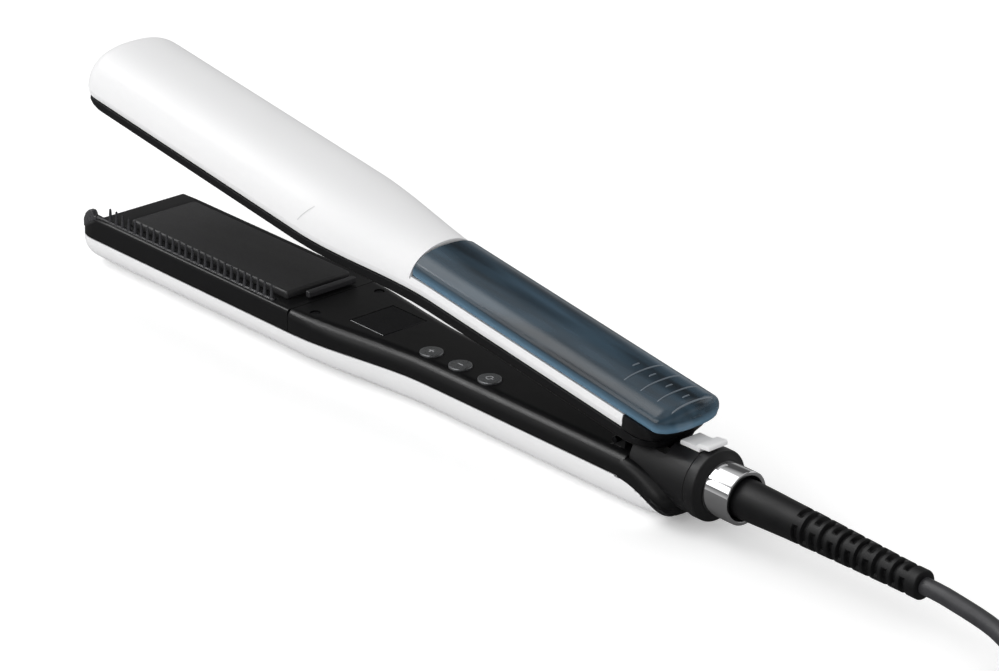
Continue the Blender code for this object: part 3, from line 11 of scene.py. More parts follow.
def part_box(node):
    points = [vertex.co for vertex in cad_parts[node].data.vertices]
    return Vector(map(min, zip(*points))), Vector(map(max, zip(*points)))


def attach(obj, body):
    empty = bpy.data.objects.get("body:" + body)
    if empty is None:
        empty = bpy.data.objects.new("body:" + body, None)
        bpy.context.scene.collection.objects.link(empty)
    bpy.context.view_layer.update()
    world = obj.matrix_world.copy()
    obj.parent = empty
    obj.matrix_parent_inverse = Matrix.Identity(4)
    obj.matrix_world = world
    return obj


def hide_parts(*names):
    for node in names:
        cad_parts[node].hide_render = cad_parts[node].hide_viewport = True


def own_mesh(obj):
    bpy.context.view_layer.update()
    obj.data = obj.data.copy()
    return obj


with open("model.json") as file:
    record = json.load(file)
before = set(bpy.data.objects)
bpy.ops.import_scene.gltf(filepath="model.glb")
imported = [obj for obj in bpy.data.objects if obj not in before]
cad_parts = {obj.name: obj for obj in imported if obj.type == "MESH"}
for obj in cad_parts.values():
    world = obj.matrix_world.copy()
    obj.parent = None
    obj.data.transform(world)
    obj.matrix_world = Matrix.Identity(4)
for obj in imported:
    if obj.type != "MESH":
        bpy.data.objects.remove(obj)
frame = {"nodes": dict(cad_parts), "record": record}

bl_info = {
    "name": "Steam hair straightener",
    "version": (1, 0, 0),
    "blender": (4, 5, 0),
    "location": "3D View > Sidebar > Straightener",
    "description": "Builds the skins, finishes, lead and studio around the packed tool",
    "category": "Object",
}

MM = 0.001
ARM_OPEN = math.radians(8.2)    # how far the upper arm stands open
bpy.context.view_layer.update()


# ------------------------------------------------------------------ settings

def length(name, description, default, **limits):
    return FloatProperty(name=name, description=description, default=default,
                         subtype='DISTANCE', unit='LENGTH', precision=5, **limits)


def colour(name, description, default):
    return FloatVectorProperty(name=name, description=description, default=default,
                               subtype='COLOR', size=3, min=0.0, max=1.0)


def light(name, description, default):
    return FloatProperty(name=name, description=description, default=default, min=0.0)


class StraightenerColours(bpy.types.PropertyGroup):
    """Colours of the visible finishes."""
    shell: colour("Shell", "Pearl white of both arms' shells", (0.88, 0.88, 0.885))
    frame: colour("Frame", "Satin black of the arms' frames", (0.006, 0.006, 0.0065))
    tail: colour("Tail", "Black of the barrel and its collar", (0.005, 0.005, 0.0055))
    plate: colour("Plate", "Ceramic coating of the hot plates", (0.026, 0.026, 0.027))
    tank: colour("Tank", "Smoked blue of the water tank", (0.030, 0.056, 0.080))
    metal: colour("Metal", "Anodised caps of the three buttons", (0.36, 0.37, 0.38))
    chrome: colour("Chrome", "Plated ring round the boot", (0.86, 0.86, 0.87))
    rubber: colour("Rubber", "Boot, lead and plug", (0.012, 0.012, 0.013))
    # mark also colours the painted glint along the display window's near edge
    mark: colour("Mark", "Printed signs on the buttons", (0.62, 0.63, 0.64))


class StraightenerLead(bpy.types.PropertyGroup):
    """Sizes of the mains lead, in metres."""
    radius: length("Radius", "Half the lead's thickness", 3.0 * MM)
    inner: length("Inner bend", "Radius of the hank's innermost bends", 18.3 * MM)
    pitch: length("Pitch", "Step from one turn of the hank to the next", 6.6 * MM)
    run: length("Run", "Length of the hank's straight runs", 76.0 * MM)
    middle: length("Place", "The hank's middle along the tool", 257.45 * MM)
    layers: IntProperty(name="Layers", description="Layers of the hank", default=3, min=1)
    turns: IntProperty(name="Turns", description="Turns in the whole hank", default=5, min=1)
    tie: length("Tie", "Thickness of the tie under the hank", 0.6 * MM)


class StraightenerStage(bpy.types.PropertyGroup):
    """The studio: camera, lights, floor and background."""
    camera_place: FloatVectorProperty(
        name="Camera", description="Where the camera stands", size=3,
        default=(0.84307, -0.84491, 0.57915), subtype='TRANSLATION', unit='LENGTH')
    camera_turn: FloatVectorProperty(
        name="Camera turn", description="The camera's rotation", size=3, subtype='EULER',
        default=tuple(math.radians(v) for v in (66.3569, -0.9069, 47.6370)), unit='ROTATION')
    lens: FloatProperty(name="Lens", description="Focal length in millimetres",
                        default=141.117, unit='CAMERA')
    sky: light("Sky", "Light from all round", 0.70)
    horizon: light("Horizon", "What gloss shows of the sky low down", 0.50)
    middle: light("Middle", "What gloss shows halfway up the sky", 0.08)
    overhead: light("Overhead", "What gloss shows overhead", 0.55)
    panel: light("Panel", "What gloss shows of a panel high up beyond the head", 2.6)
    key: light("Key", "Power of the large soft light, in watts", 8.8)
    strip: light("Strip", "Power of the narrow light, in watts", 6.0)
    fill: light("Fill", "Power of the soft light behind, in watts", 3.0)
    glow: light("Glow", "What the floor's paper adds for the viewer", 0.22)
    floor_size: length("Floor", "Side of the floor", 12.0)


# ------------------------------------------------------------------ finishes

class Nodes:
    """A node tree that is built up by short calls."""

    def __init__(self, tree, coordinates):
        self.tree = tree
        self.place = self.node('ShaderNodeTexCoord').outputs[coordinates]

    def node(self, kind, **values):
        node = self.tree.nodes.new(kind)
        for name, value in values.items():
            if hasattr(node, name):
                setattr(node, name, value)
            else:
                node.inputs[name.replace("_", " ")].default_value = value
        return node

    def link(self, output, target):
        self.tree.links.new(output, target)

    def math(self, operation, first, second):
        made = self.node('ShaderNodeMath', operation=operation)
        self.link(first, made.inputs[0])
        self.link(second, made.inputs[1])
        return made.outputs[0]

    def height(self, place):
        """The Z of a place."""
        split = self.node('ShaderNodeSeparateXYZ')
        self.link(place, split.inputs["Vector"])
        return split.outputs["Z"]

    def spread(self, value, low, high, start=0.3, stop=0.7):
        """Carry a value from the range start to stop over to the range low to high."""
        ranger = self.node('ShaderNodeMapRange', From_Min=start, From_Max=stop, To_Min=low,
                           To_Max=high)
        self.link(value, ranger.inputs["Value"])
        return ranger.outputs["Result"]

    def seen(self):
        """1 where the camera sees it, straight or through clear plastic, and the path node."""
        path = self.node('ShaderNodeLightPath')
        return self.math('MAXIMUM', path.outputs["Is Camera Ray"],
                         path.outputs["Is Transmission Ray"]), path


class Finish(Nodes):
    """A material's node tree with its shader at hand."""

    def __init__(self, name, base, **sockets):
        self.material = bpy.data.materials.new(name)
        self.material.use_nodes = True
        super().__init__(self.material.node_tree, "Object")
        self.shader = self.tree.nodes["Principled BSDF"]
        self.set("Base Color", (*base, 1.0))
        self.material.diffuse_color = (*base, 1.0)
        for socket, value in sockets.items():
            self.set(socket.replace("_", " "), value)

    def set(self, socket, value):
        self.shader.inputs[socket].default_value = value

    def link(self, output, target):
        """Link to a socket, or to the shader's socket of that name."""
        super().link(output, self.shader.inputs[target] if isinstance(target, str) else target)

    def noise(self, scale, detail=2.0, roughness=0.5, stretch=(1.0, 1.0, 1.0), pitch=0.0):
        """Noise with so many cells to a metre; stretch draws it out, pitch tips it about Y."""
        mapping = self.node('ShaderNodeMapping', Rotation=(0.0, pitch, 0.0), Scale=stretch)
        self.link(self.place, mapping.inputs["Vector"])
        noise = self.node('ShaderNodeTexNoise', Scale=scale, Detail=detail,
                          Roughness=roughness)
        self.link(mapping.outputs["Vector"], noise.inputs["Vector"])
        return noise.outputs["Fac"]

    def cells(self, scale):
        voronoi = self.node('ShaderNodeTexVoronoi', Scale=scale)
        self.link(self.place, voronoi.inputs["Vector"])
        return voronoi.outputs["Distance"]

    def tint(self, value, dark, pale, start=0.3, stop=0.7):
        """Colour that runs from dark to pale with a value."""
        ramp = self.node('ShaderNodeValToRGB')
        for end, position, shade in zip(ramp.color_ramp.elements, (start, stop), (dark, pale)):
            end.position = position
            end.color = (*shade, 1.0)
        self.link(value, ramp.inputs["Fac"])
        return ramp.outputs["Color"]

    def bump(self, *layers):
        """Layers of (height, strength, distance in millimetres), the finest last."""
        normal = None
        for height, strength, distance in layers:
            bump = self.node('ShaderNodeBump', Strength=strength, Distance=distance * MM)
            self.link(height, bump.inputs["Height"])
            if normal is not None:
                self.link(normal, bump.inputs["Normal"])
            normal = bump.outputs["Normal"]
        self.link(normal, "Normal")


def scaled(base, factor):
    return tuple(min(1.0, channel * factor) for channel in base)


def moulded(name, base, roughness, grain=2600.0, depth=0.02, variation=0.06, **sockets):
    """Moulded plastic: fine spark-eroded grain, a faint flow pattern and uneven gloss."""
    finish = Finish(name, base, **sockets)
    flow = finish.noise(38.0, 3.0, 0.6, (0.35, 1.0, 1.0))
    fine = finish.noise(grain, 1.0)
    finish.link(finish.tint(flow, scaled(base, 1 - variation), scaled(base, 1 + variation)),
                "Base Color")
    handled = finish.noise(90.0, 4.0, 0.65)
    finish.link(finish.spread(handled, roughness - 0.035, roughness + 0.045), "Roughness")
    finish.bump((flow, 0.05, 0.2), (fine, 0.35, depth))
    return finish


def pearl(base):
    """Lacquered pearl white: very fine flake under a clear coat."""
    finish = Finish("pearl_white", base, Coat_Weight=0.12, Coat_Roughness=0.3)
    flake = finish.cells(5200.0)
    flow = finish.noise(24.0, 2.0, 0.5, (0.4, 1.0, 1.0))
    finish.link(finish.tint(finish.math('MULTIPLY', flake, flow), scaled(base, 0.985),
                            scaled(base, 1.02), 0.1, 0.5), "Base Color")
    finish.link(finish.spread(finish.noise(60.0, 4.0, 0.6), 0.42, 0.50), "Roughness")
    finish.bump((flake, 0.05, 0.01))
    return finish


def coated_plate(base):
    """Ceramic coating with mineral speckle and the grain of the blasted plate below it."""
    finish = Finish("plate_ceramic", base)
    speck = finish.noise(2300.0, 3.0, 0.7)
    cloud = finish.noise(70.0, 3.0, 0.6, (0.3, 1.0, 1.0))
    finish.link(finish.tint(speck, scaled(base, 0.78), scaled(base, 1.55), 0.35, 0.75),
                "Base Color")
    finish.link(finish.spread(cloud, 0.44, 0.54), "Roughness")
    finish.bump((cloud, 0.05, 0.1), (speck, 0.5, 0.03))
    return finish


def metal(name, base, roughness, lines=0.0, grain=0.02, **sockets):
    """Metal; lines draws brush marks along X, grain is the depth of its other marks."""
    finish = Finish(name, base, Metallic=1.0, **sockets)
    marks = finish.noise(900.0, 3.0, 0.6, (0.03 if lines else 0.5, 1.0, 1.0))
    smear = finish.noise(55.0, 3.0)
    finish.link(finish.tint(smear, scaled(base, 0.93), scaled(base, 1.04)), "Base Color")
    finish.link(finish.spread(marks, max(0.0, roughness - 0.03), roughness + 0.04),
                "Roughness")
    finish.bump((marks, grain + lines, 0.01))
    return finish


def cap_metal(name, base, roughness):
    """A button's anodised cap, with a fine blasted grain."""
    finish = Finish(name, base, Metallic=0.85)
    grain = finish.noise(2600.0, 2.0)
    finish.link(finish.tint(grain, scaled(base, 0.85), scaled(base, 1.15)), "Base Color")
    finish.link(finish.spread(grain, roughness - 0.04, roughness + 0.06), "Roughness")
    finish.bump((grain, 0.15, 0.01))
    return finish


def rubber(name, base, roughness=0.5, **sockets):
    """Matt elastomer with a skin of fine pores and a trace of dust."""
    finish = Finish(name, base, **sockets)
    pores = finish.noise(3200.0, 2.0, 0.6)
    dust = finish.noise(180.0, 5.0, 0.7)
    finish.link(finish.tint(dust, scaled(base, 0.85), scaled(base, 1.35), 0.35, 0.75),
                "Base Color")
    finish.link(finish.spread(dust, roughness - 0.05, roughness + 0.08), "Roughness")
    finish.bump((dust, 0.06, 0.05), (pores, 0.3, 0.02))
    return finish


def smoked(base):
    """Smoked plastic with painted reflections: light and dark bands stretched along the arm, and a
    paler band low down on its sides that is a painted reflection of the floor.
    """
    finish = Finish("smoked_plastic", base, Transmission_Weight=0.3, IOR=1.49,
                    Coat_Weight=0.15, Coat_Roughness=0.06)
    # painted reflections: noise stretched along the arm tints the smoked colour from darker to
    # much lighter, in place of the long reflections on the glossy tank
    painted_streak_noise = finish.noise(95.0, 2.0, 0.5, (0.03, 1.0, 1.0), -ARM_OPEN)
    painted_reflection_streaks = finish.tint(painted_streak_noise, scaled(base, 0.35), scaled(base, 2.0), 0.34, 0.66)
    level = finish.node('ShaderNodeMapping', Rotation=(0.0, -ARM_OPEN, 0.0))
    finish.link(finish.place, level.inputs["Vector"])
    foot = HINGE_Z * math.cos(ARM_OPEN) + ARM_FACE + STRIP_TOP
    # painted reflection of the floor: 1 low down on the tank's sides, 0 above
    painted_floor_reflection = finish.spread(finish.height(level.outputs["Vector"]), 1.0, 0.0,
                             foot + 1.6 * MM, foot + 4.0 * MM)
    mixed = finish.node('ShaderNodeMix', data_type='RGBA')
    factor, painted_streak_socket, pale, result = 0, 6, 7, 2     # a colour mix's sockets by their places
    # the paler colour is the painted reflection of the floor
    mixed.inputs[pale].default_value = (*scaled(base, 4.8), 1.0)
    finish.link(painted_floor_reflection, mixed.inputs[factor])
    finish.link(painted_reflection_streaks, mixed.inputs[painted_streak_socket])
    finish.link(mixed.outputs[result], "Base Color")
    finish.link(finish.spread(finish.noise(120.0, 4.0, 0.65), 0.15, 0.22), "Roughness")
    finish.bump((finish.noise(45.0, 2.0, 0.4, (0.3, 1.0, 1.0)), 0.04, 0.2))
    return finish


def circuit_board():
    """Solder mask over copper tracks."""
    finish = Finish("circuit_board", (0.02, 0.14, 0.05), Coat_Weight=0.3)
    brick = finish.node('ShaderNodeTexBrick', Scale=420.0, Color1=(0.015, 0.13, 0.045, 1),
                        Color2=(0.02, 0.16, 0.06, 1), Mortar=(0.03, 0.22, 0.09, 1))
    finish.link(finish.place, brick.inputs["Vector"])
    finish.link(brick.outputs["Color"], "Base Color")
    finish.link(finish.spread(finish.noise(400.0), 0.35, 0.5), "Roughness")
    finish.bump((brick.outputs["Fac"], 0.2, 0.05))
    return finish


def display_glass():
    """Dark glass over a segment display that is switched off."""
    finish = Finish("display_glass", (0.006, 0.006, 0.007), Specular_IOR_Level=0.35)
    layer = finish.noise(300.0, 2.0)
    finish.link(finish.tint(layer, (0.004, 0.004, 0.005), (0.007, 0.007, 0.008)),
                "Base Color")
    finish.link(finish.spread(finish.noise(150.0, 3.0), 0.10, 0.16), "Roughness")
    finish.bump((finish.noise(500.0), 0.02, 0.02))
    return finish


def make_finishes(colours):
    """Every finish by name; made once and shared by the pieces."""
    made = {
        "pearl": pearl(colours.shell),
        "frame": moulded("satin_black", colours.frame, 0.34, Specular_IOR_Level=0.32),
        # painted highlight: the comb is the frame's black made eight times lighter, for the light
        # its glossy teeth catch
        "comb": moulded("comb_black_painted_highlight", scaled(colours.frame, 8.0), 0.26),
        # painted light: the guard bar is the frame's black made 5.5 times lighter, standing in for
        # the light its rear face catches
        "bar": moulded("bar_black_painted_light", scaled(colours.frame, 5.5), 0.40),
        "tail": moulded("tail_black", scaled(colours.tail, 1.5), 0.40, depth=0.012,
                        Specular_IOR_Level=0.5),
        "inside": moulded("inside_black", scaled(colours.frame, 1.1), 0.5, 1800.0, 0.03),
        "plate": coated_plate(colours.plate),
        "heater": moulded("heater_ceramic", (0.55, 0.54, 0.50), 0.5, 3000.0, 0.03),
        "spring": metal("spring_steel", (0.56, 0.56, 0.57), 0.28, 0.06),
        "carrier": moulded("carrier_resin", (0.46, 0.38, 0.26), 0.55, 1500.0, 0.04, 0.12),
        "chamber": metal("cast_metal", (0.55, 0.55, 0.56), 0.42),
        "tank": smoked(colours.tank),
        # painted highlight: the grip ribs are pale grey, not smoked blue, so they read as thin
        # lines of light on the tank
        "grip": moulded("grip_painted_highlight", (0.17, 0.20, 0.23), 0.12, 1500.0, 0.01),
        "seal": rubber("seal_rubber", (0.42, 0.08, 0.06), 0.6),
        "rubber": rubber("black_rubber", scaled(colours.rubber, 0.5), 0.42,
                         Specular_IOR_Level=0.28),
        "lead": rubber("lead_rubber", scaled(colours.rubber, 3.0), 0.36),
        "hose": rubber("silicone_hose", (0.62, 0.62, 0.60), 0.45),
        "pump": moulded("pump_plastic", (0.70, 0.70, 0.68), 0.45),
        "glass": display_glass(),
        "button": cap_metal("button_metal", colours.metal, 0.30),
        "board": circuit_board(),
        "pin": metal("pin_blackened", (0.035, 0.035, 0.038), 0.32, 0.02),
        "chrome": metal("chrome", colours.chrome, 0.05, grain=0.001),
        "brass": metal("plug_brass", (0.72, 0.66, 0.52), 0.25, 0.05),
        # this finish is the print on the buttons and also the painted glint on the window's near
        # edge
        "mark": moulded("print_and_painted_glint", colours.mark, 0.5, 3000.0, 0.01),
        "tick": moulded("tick_print", scaled(colours.shell, 0.72), 0.5, 3000.0, 0.01),
    }
    return {name: finish.material for name, finish in made.items()}


NODE_FINISH = {
    "pearl": "upper_shell lower_shell lock_slider",
    "frame": "upper_frame lower_head_frame lower_handle_frame tank_cradle",
    "comb": "comb",
    "bar": "guard_bar",
    "tail": "tail_barrel tail_collar",
    "inside": "tank_bulkhead pump_saddle steam_manifold",
    "plate": "upper_plate lower_plate",
    "heater": "upper_heater lower_heater",
    "spring": "upper_plate_spring lower_plate_spring hinge_spring",
    "carrier": "plate_carrier",
    "chamber": "steam_chamber",
    "tank": "water_tank",
    "seal": "tank_seal tank_plug",
    "rubber": "cord_boot plug_body stop_buffer_near stop_buffer_far coil_tie",
    "lead": "cord cord_coil cord_end",
    "hose": "inlet_hose outlet_hose",
    "pump": "water_pump",
    "glass": "display_window",
    "button": "button_plus button_minus button_power",
    "board": "control_board",
    "pin": "hinge_pin",
    "chrome": "chrome_ring",
    "brass": "plug_pin_near plug_pin_far",
}
FINISHES = {}


# ------------------------------------------------------------------ mesh helpers

def placed(name, data):
    """An object in the scene that shows this data."""
    thing = bpy.data.objects.new(name, data)
    bpy.context.scene.collection.objects.link(thing)
    return thing


def as_mesh(name, bm):
    """The bmesh as a mesh, and the bmesh let go."""
    mesh = bpy.data.meshes.new(name)
    bm.to_mesh(mesh)
    bm.free()
    return mesh


def finished(name, bm, finish, body, sharp=35.0, outwards=True):
    """A bmesh as a finished piece: normals outwards, its finish on, riding on its body."""
    if outwards:
        bmesh.ops.remove_doubles(bm, verts=bm.verts[:], dist=1e-6)
        bmesh.ops.recalc_face_normals(bm, faces=bm.faces[:])
    mesh = as_mesh(name, bm)
    mesh.shade_smooth()
    mesh.set_sharp_from_angle(angle=math.radians(sharp))
    piece = placed(name, mesh)
    mesh.materials.append(FINISHES[finish])
    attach(piece, body)
    return piece


def block(bm, size, place, bevel=0.0, segments=2):
    """A box of that size round a place, its edges rounded."""
    made = bmesh.ops.create_cube(bm, size=1.0)["verts"]
    bmesh.ops.scale(bm, verts=made, vec=size)
    bmesh.ops.translate(bm, verts=made, vec=place)
    if bevel:
        edges = list({edge for vert in made for edge in vert.link_edges})
        bmesh.ops.bevel(bm, geom=edges, offset=bevel, segments=segments, profile=0.5,
                        material=-1, affect='EDGES')
    return bm


# ------------------------------------------------------------------ the arms' outline

FACE_Z = 20.6 * MM              # height of the lower arm's face
HINGE_Z = 23.5 * MM
ARM_FACE = 2.9 * MM             # from the hinge axis to the upper arm's face
OPEN_ARM = Matrix.Translation((0, 0, HINGE_Z)) @ Matrix.Rotation(ARM_OPEN, 4, 'Y')
HEAD_TIP, NOSE_START = -289.5 * MM, 0.3 * MM
HEAD_HALF, HANDLE_HALF = 21.6 * MM, 15.4 * MM
WAIST_FRONT, WAIST_REAR = -158.0 * MM, -92.0 * MM
STRIP_TOP, STRIP_REAR = 10.4 * MM, 4.8 * MM
STERN_END = 23.8 * MM           # the tank's rear end
TANK_FRONT, TANK_TOP = -102.5 * MM, 19.3 * MM
WALL = 1.6 * MM                 # of both shells
SHELL_REAR = 28.0 * MM          # the lower shell's rear end
RIM_GAP = 0.3 * MM              # from a frame's lower edge to the shell's rim
LOWER_ROUND = 2.1               # power of the lower shell's curve: 2 is an ellipse
FACET_HEIGHT = 2.4 * MM
SHELL_TUCK = 0.7 * MM           # how far the upper shell's nose stands back
HANDLE_RIM = 7.6 * MM           # from the lower arm's face to the frame's lower edge
SWEEP_START, SWEEP_LENGTH, SWEEP_DROP = 2.0 * MM, 21.0 * MM, 11.4 * MM
BARREL_AXIS = 16.2 * MM


def smooth(a, b, x):
    t = min(1.0, max(0.0, (x - a) / (b - a)))
    return t * t * (3 - 2 * t)


def nose(x, tip, length, power):
    """Share of the full size at x, 0 at the nose tip and 1 from length behind it."""
    t = min(1.0, max(0.0, (tip + length - x) / length))
    return (1 - t ** power) ** (1 / power)


def along(x, head, handle):
    """A size that changes from the head's value to the handle's over the waist."""
    return head + (handle - head) * smooth(WAIST_FRONT, WAIST_REAR, x)


def half_width(x, tuck=0.0):
    return along(x, HEAD_HALF, HANDLE_HALF) * nose(x, HEAD_TIP + tuck, 13.0 * MM, 2.8)


def crown(angle, half, side, depth, power):
    """A point of the rounded back: 0 degrees is its far edge, 180 its near edge."""
    c, s = math.cos(angle), math.sin(angle)
    y = math.copysign(abs(c) ** (2 / power), c) * half
    return y, side + (depth - side) * s ** (2 / power)


def upper_section(x):
    """Rim, full depth and roundness of the upper shell at x."""
    return (along(x, 3.3 * MM, 5.1 * MM) + RIM_GAP, along(x, 21.6 * MM, 20.1 * MM),
            along(x, 2.45, 2.1))


def lower_section(x):
    """Rim, side, depth, half width and flat of the lower shell's trough at x."""
    rim = along(x, 8.6 * MM, HANDLE_RIM) + RIM_GAP
    rise = max(0.2, nose(x, HEAD_TIP, 10.0 * MM, 2.3))
    if x > 0:
        rise = max(0.62, nose(-x, -SHELL_REAR - 0.2 * MM, 6.0 * MM, 2.3))
    tail = 1.9 * MM * smooth(6.4 * MM, SHELL_REAR, x)
    depth = rim + (FACE_Z - tail - rim) * rise
    half = half_width(x)
    return rim, min(rim + 1.0 * MM, depth - 0.5 * MM), depth, half, half * 0.25


def rim_sweep(angle):
    """The lower shell's rim behind the frame: a quarter ellipse down around the barrel."""
    return (SWEEP_START + SWEEP_LENGTH * math.sin(angle),
            FACE_Z - HANDLE_RIM - RIM_GAP - SWEEP_DROP * (1 - math.cos(angle)))


def flank(x, z):
    """Where the arm's outline lies at that height: half its width, and the height kept."""
    _, side, depth, half, flat = lower_section(x)
    z = max(z, FACE_Z - depth)
    if FACE_Z - z <= side:
        return half, z
    c = math.sqrt(max(0.0, 1 - ((FACE_Z - z - side) / (depth - side)) ** LOWER_ROUND))
    return c ** (2 / LOWER_ROUND) * (half - flat) + flat * min(1.0, c / 0.25), z


def draped(bm, columns, rows, shape):
    """A grid bent over a surface; shape gives the point for 0..1 along and 0..1 across."""
    made = bmesh.ops.create_grid(bm, x_segments=columns, y_segments=rows, size=0.5)["verts"]
    for vert in made:
        vert.co = shape(vert.co.x + 0.5, vert.co.y + 0.5)
    return made


def nose_spacing(first, last, share):
    """Places that stand close together at the nose and evenly behind it."""
    bent, reach = 0.18, 16 * MM
    if share < bent:
        return first + reach * (1 - math.cos(share / bent * math.pi / 2))
    return first + reach + (last - first - reach) * (share - bent) / (1 - bent)


def cut_all(bm, place, normal):
    """A row of edges right round the mesh, where the plane meets it."""
    bmesh.ops.bisect_plane(bm, geom=bm.verts[:] + bm.edges[:] + bm.faces[:], dist=1e-7,
                           plane_co=place, plane_no=normal)


def cut_away(bm, faces, place, normal):
    """Cut those faces along the plane and take off what lies beyond it."""
    parts = {item for face in faces for item in (*face.verts, *face.edges)}
    bmesh.ops.bisect_plane(bm, geom=[*parts, *faces], dist=1e-7, clear_outer=True,
                           plane_co=place, plane_no=normal)


def walled(bm, thickness):
    """Give an open surface its wall, inwards."""
    bmesh.ops.recalc_face_normals(bm, faces=bm.faces[:])
    bmesh.ops.solidify(bm, geom=bm.faces[:], thickness=thickness)


def on_upper_arm(bm):
    """From the closed arm's own frame to where the arm stands open."""
    bmesh.ops.transform(bm, matrix=OPEN_ARM, verts=bm.verts[:])


def fill_holes(bm):
    bmesh.ops.holes_fill(bm, edges=[edge for edge in bm.edges if edge.is_boundary])


def corner_round(centre_x, centre_r, roll, start, steps=6):
    """A quarter turn of (x, radius) points, from start degrees on; 0 is outwards."""
    turns = (math.radians(start + i * 90 / steps) for i in range(steps + 1))
    return [(centre_x + roll * math.sin(a), centre_r + roll * math.cos(a)) for a in turns]


def turned(bm, profile, axis_z, segments=96):
    """Turn (x, radius) points about an axis along X."""
    points = [bm.verts.new((x, 0, axis_z + radius)) for x, radius in profile]
    edges = [bm.edges.new(pair) for pair in zip(points, points[1:] + points[:1])]
    bmesh.ops.spin(bm, geom=points + edges, cent=(0, 0, axis_z), axis=(1, 0, 0),
                   angle=2 * math.pi, steps=segments, use_merge=True)
    return bm


def extruded(bm, outline, low, high, bevel, segments=3):
    """Extrude an outline of (x, z) points across the tool and round its edges."""
    face = bm.faces.new([bm.verts.new((x, low, z)) for x, z in outline])
    swept = bmesh.ops.extrude_face_region(bm, geom=[face])["geom"]
    verts = [item for item in swept if isinstance(item, bmesh.types.BMVert)]
    bmesh.ops.translate(bm, verts=verts, vec=(0, high - low, 0))
    bmesh.ops.bevel(bm, geom=bm.edges[:], offset=bevel, segments=segments, profile=0.5,
                    material=-1, affect='EDGES')
    return bm


# ------------------------------------------------------------------ skins over the CAD pieces

def rounded_shoulders(bm):
    """Draw the frame's upper edges in onto a larger round, on rows cut for it."""
    least, most = 2.0 * MM, 5.4 * MM
    grow_from, grow_to = -200 * MM, -125 * MM
    down_step, across_step, along_step = 0.8 * MM, 0.55 * MM, 4.5 * MM
    inner, front = 9.6 * MM, -156.5 * MM
    for i in range(1, 8):
        cut_all(bm, (0, 0, FACE_Z - down_step * i), (0, 0, 1))
    for i in range(22):
        for way in (1, -1):
            cut_all(bm, (0, way * (inner + across_step * i), 0), (0, 1, 0))
    for i in range(36):
        cut_all(bm, (front + along_step * i, 0, 0), (1, 0, 0))
    for vert in bm.verts:
        radius = max(least, most * smooth(grow_from, grow_to, vert.co.x))
        half = half_width(vert.co.x)
        inwards, down = half - abs(vert.co.y) - radius, FACE_Z - vert.co.z - radius
        away = math.hypot(inwards, down)
        if inwards < 0 and down < 0 and away > radius:
            vert.co.y = math.copysign(half - radius - inwards * radius / away, vert.co.y)
            vert.co.z = FACE_Z - radius - down * radius / away


def skin_of(node, finish, body, sharp=32.0, shape=None):
    """A merged, smoothly shaded copy of a CAD piece, which it stands for."""
    bm = bmesh.new()
    bm.from_mesh(frame["nodes"][node].data)
    bmesh.ops.remove_doubles(bm, verts=bm.verts[:], dist=5e-6)
    bmesh.ops.dissolve_limit(bm, verts=bm.verts[:], edges=bm.edges[:],
                             angle_limit=math.radians(1.0))
    if shape:
        shape(bm)
    piece = finished(node + "_skin", bm, finish, body, sharp)
    weighted = piece.modifiers.new("weighted_normals", 'WEIGHTED_NORMAL')
    weighted.keep_sharp = True
    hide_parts(node)
    return piece


class STRAIGHTENER_OT_frames(bpy.types.Operator):
    """Puts smooth skins on the frames, the plates and the small black pieces"""
    bl_idname = "straightener.frames"
    bl_label = "Frames and plates"

    def execute(self, context):
        for node, finish, body, slot in (
                ("lower_head_frame", "frame", "lower_arm", "black_frame"),
                ("lower_handle_frame", "frame", "lower_arm", "black_frame"),
                ("upper_frame", "frame", "upper_arm", "black_frame"),
                ("tank_cradle", "frame", "upper_arm", "black_frame"),
                ("tail_barrel", "tail", "lower_arm", "black_tail"),
                ("guard_bar", "bar", "lower_arm", "black_frame"),
                ("plug_body", "rubber", "lower_arm", "black_rubber"),
                ("coil_tie", "rubber", "lower_arm", "black_rubber"),
                ("lower_plate", "plate", "lower_plate_unit", "plate_coating"),
                ("upper_plate", "plate", "upper_plate_unit", "plate_coating")):
            shape = rounded_shoulders if node == "lower_handle_frame" else None
            skin_of(node, finish, body, shape=shape)
        for node, body, joint in (
                ("lower_plate_spring", "lower_arm", "lower_plate_float"),
                ("upper_plate_spring", "upper_arm", "upper_plate_float")):
            self.leaf_spring(node, body, joint)
        return {'FINISHED'}

    def leaf_spring(self, node, body, joint):
        """A smooth skin of the spring on a mesh of its own; the plate's travel is read from its
        joint but not used.
        """
        piece = skin_of(node, "spring", body)
        found = next(item for item in frame["record"]["behaviour"]["joints"]
                     if item["name"] == joint)
        way, travel = Vector(found["axis"]), max(found["range_m"])
        reach = sorted((vert.co.dot(way), tuple(vert.co)) for vert in piece.data.vertices)
        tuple(way)
        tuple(reach[-1][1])
        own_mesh(piece)


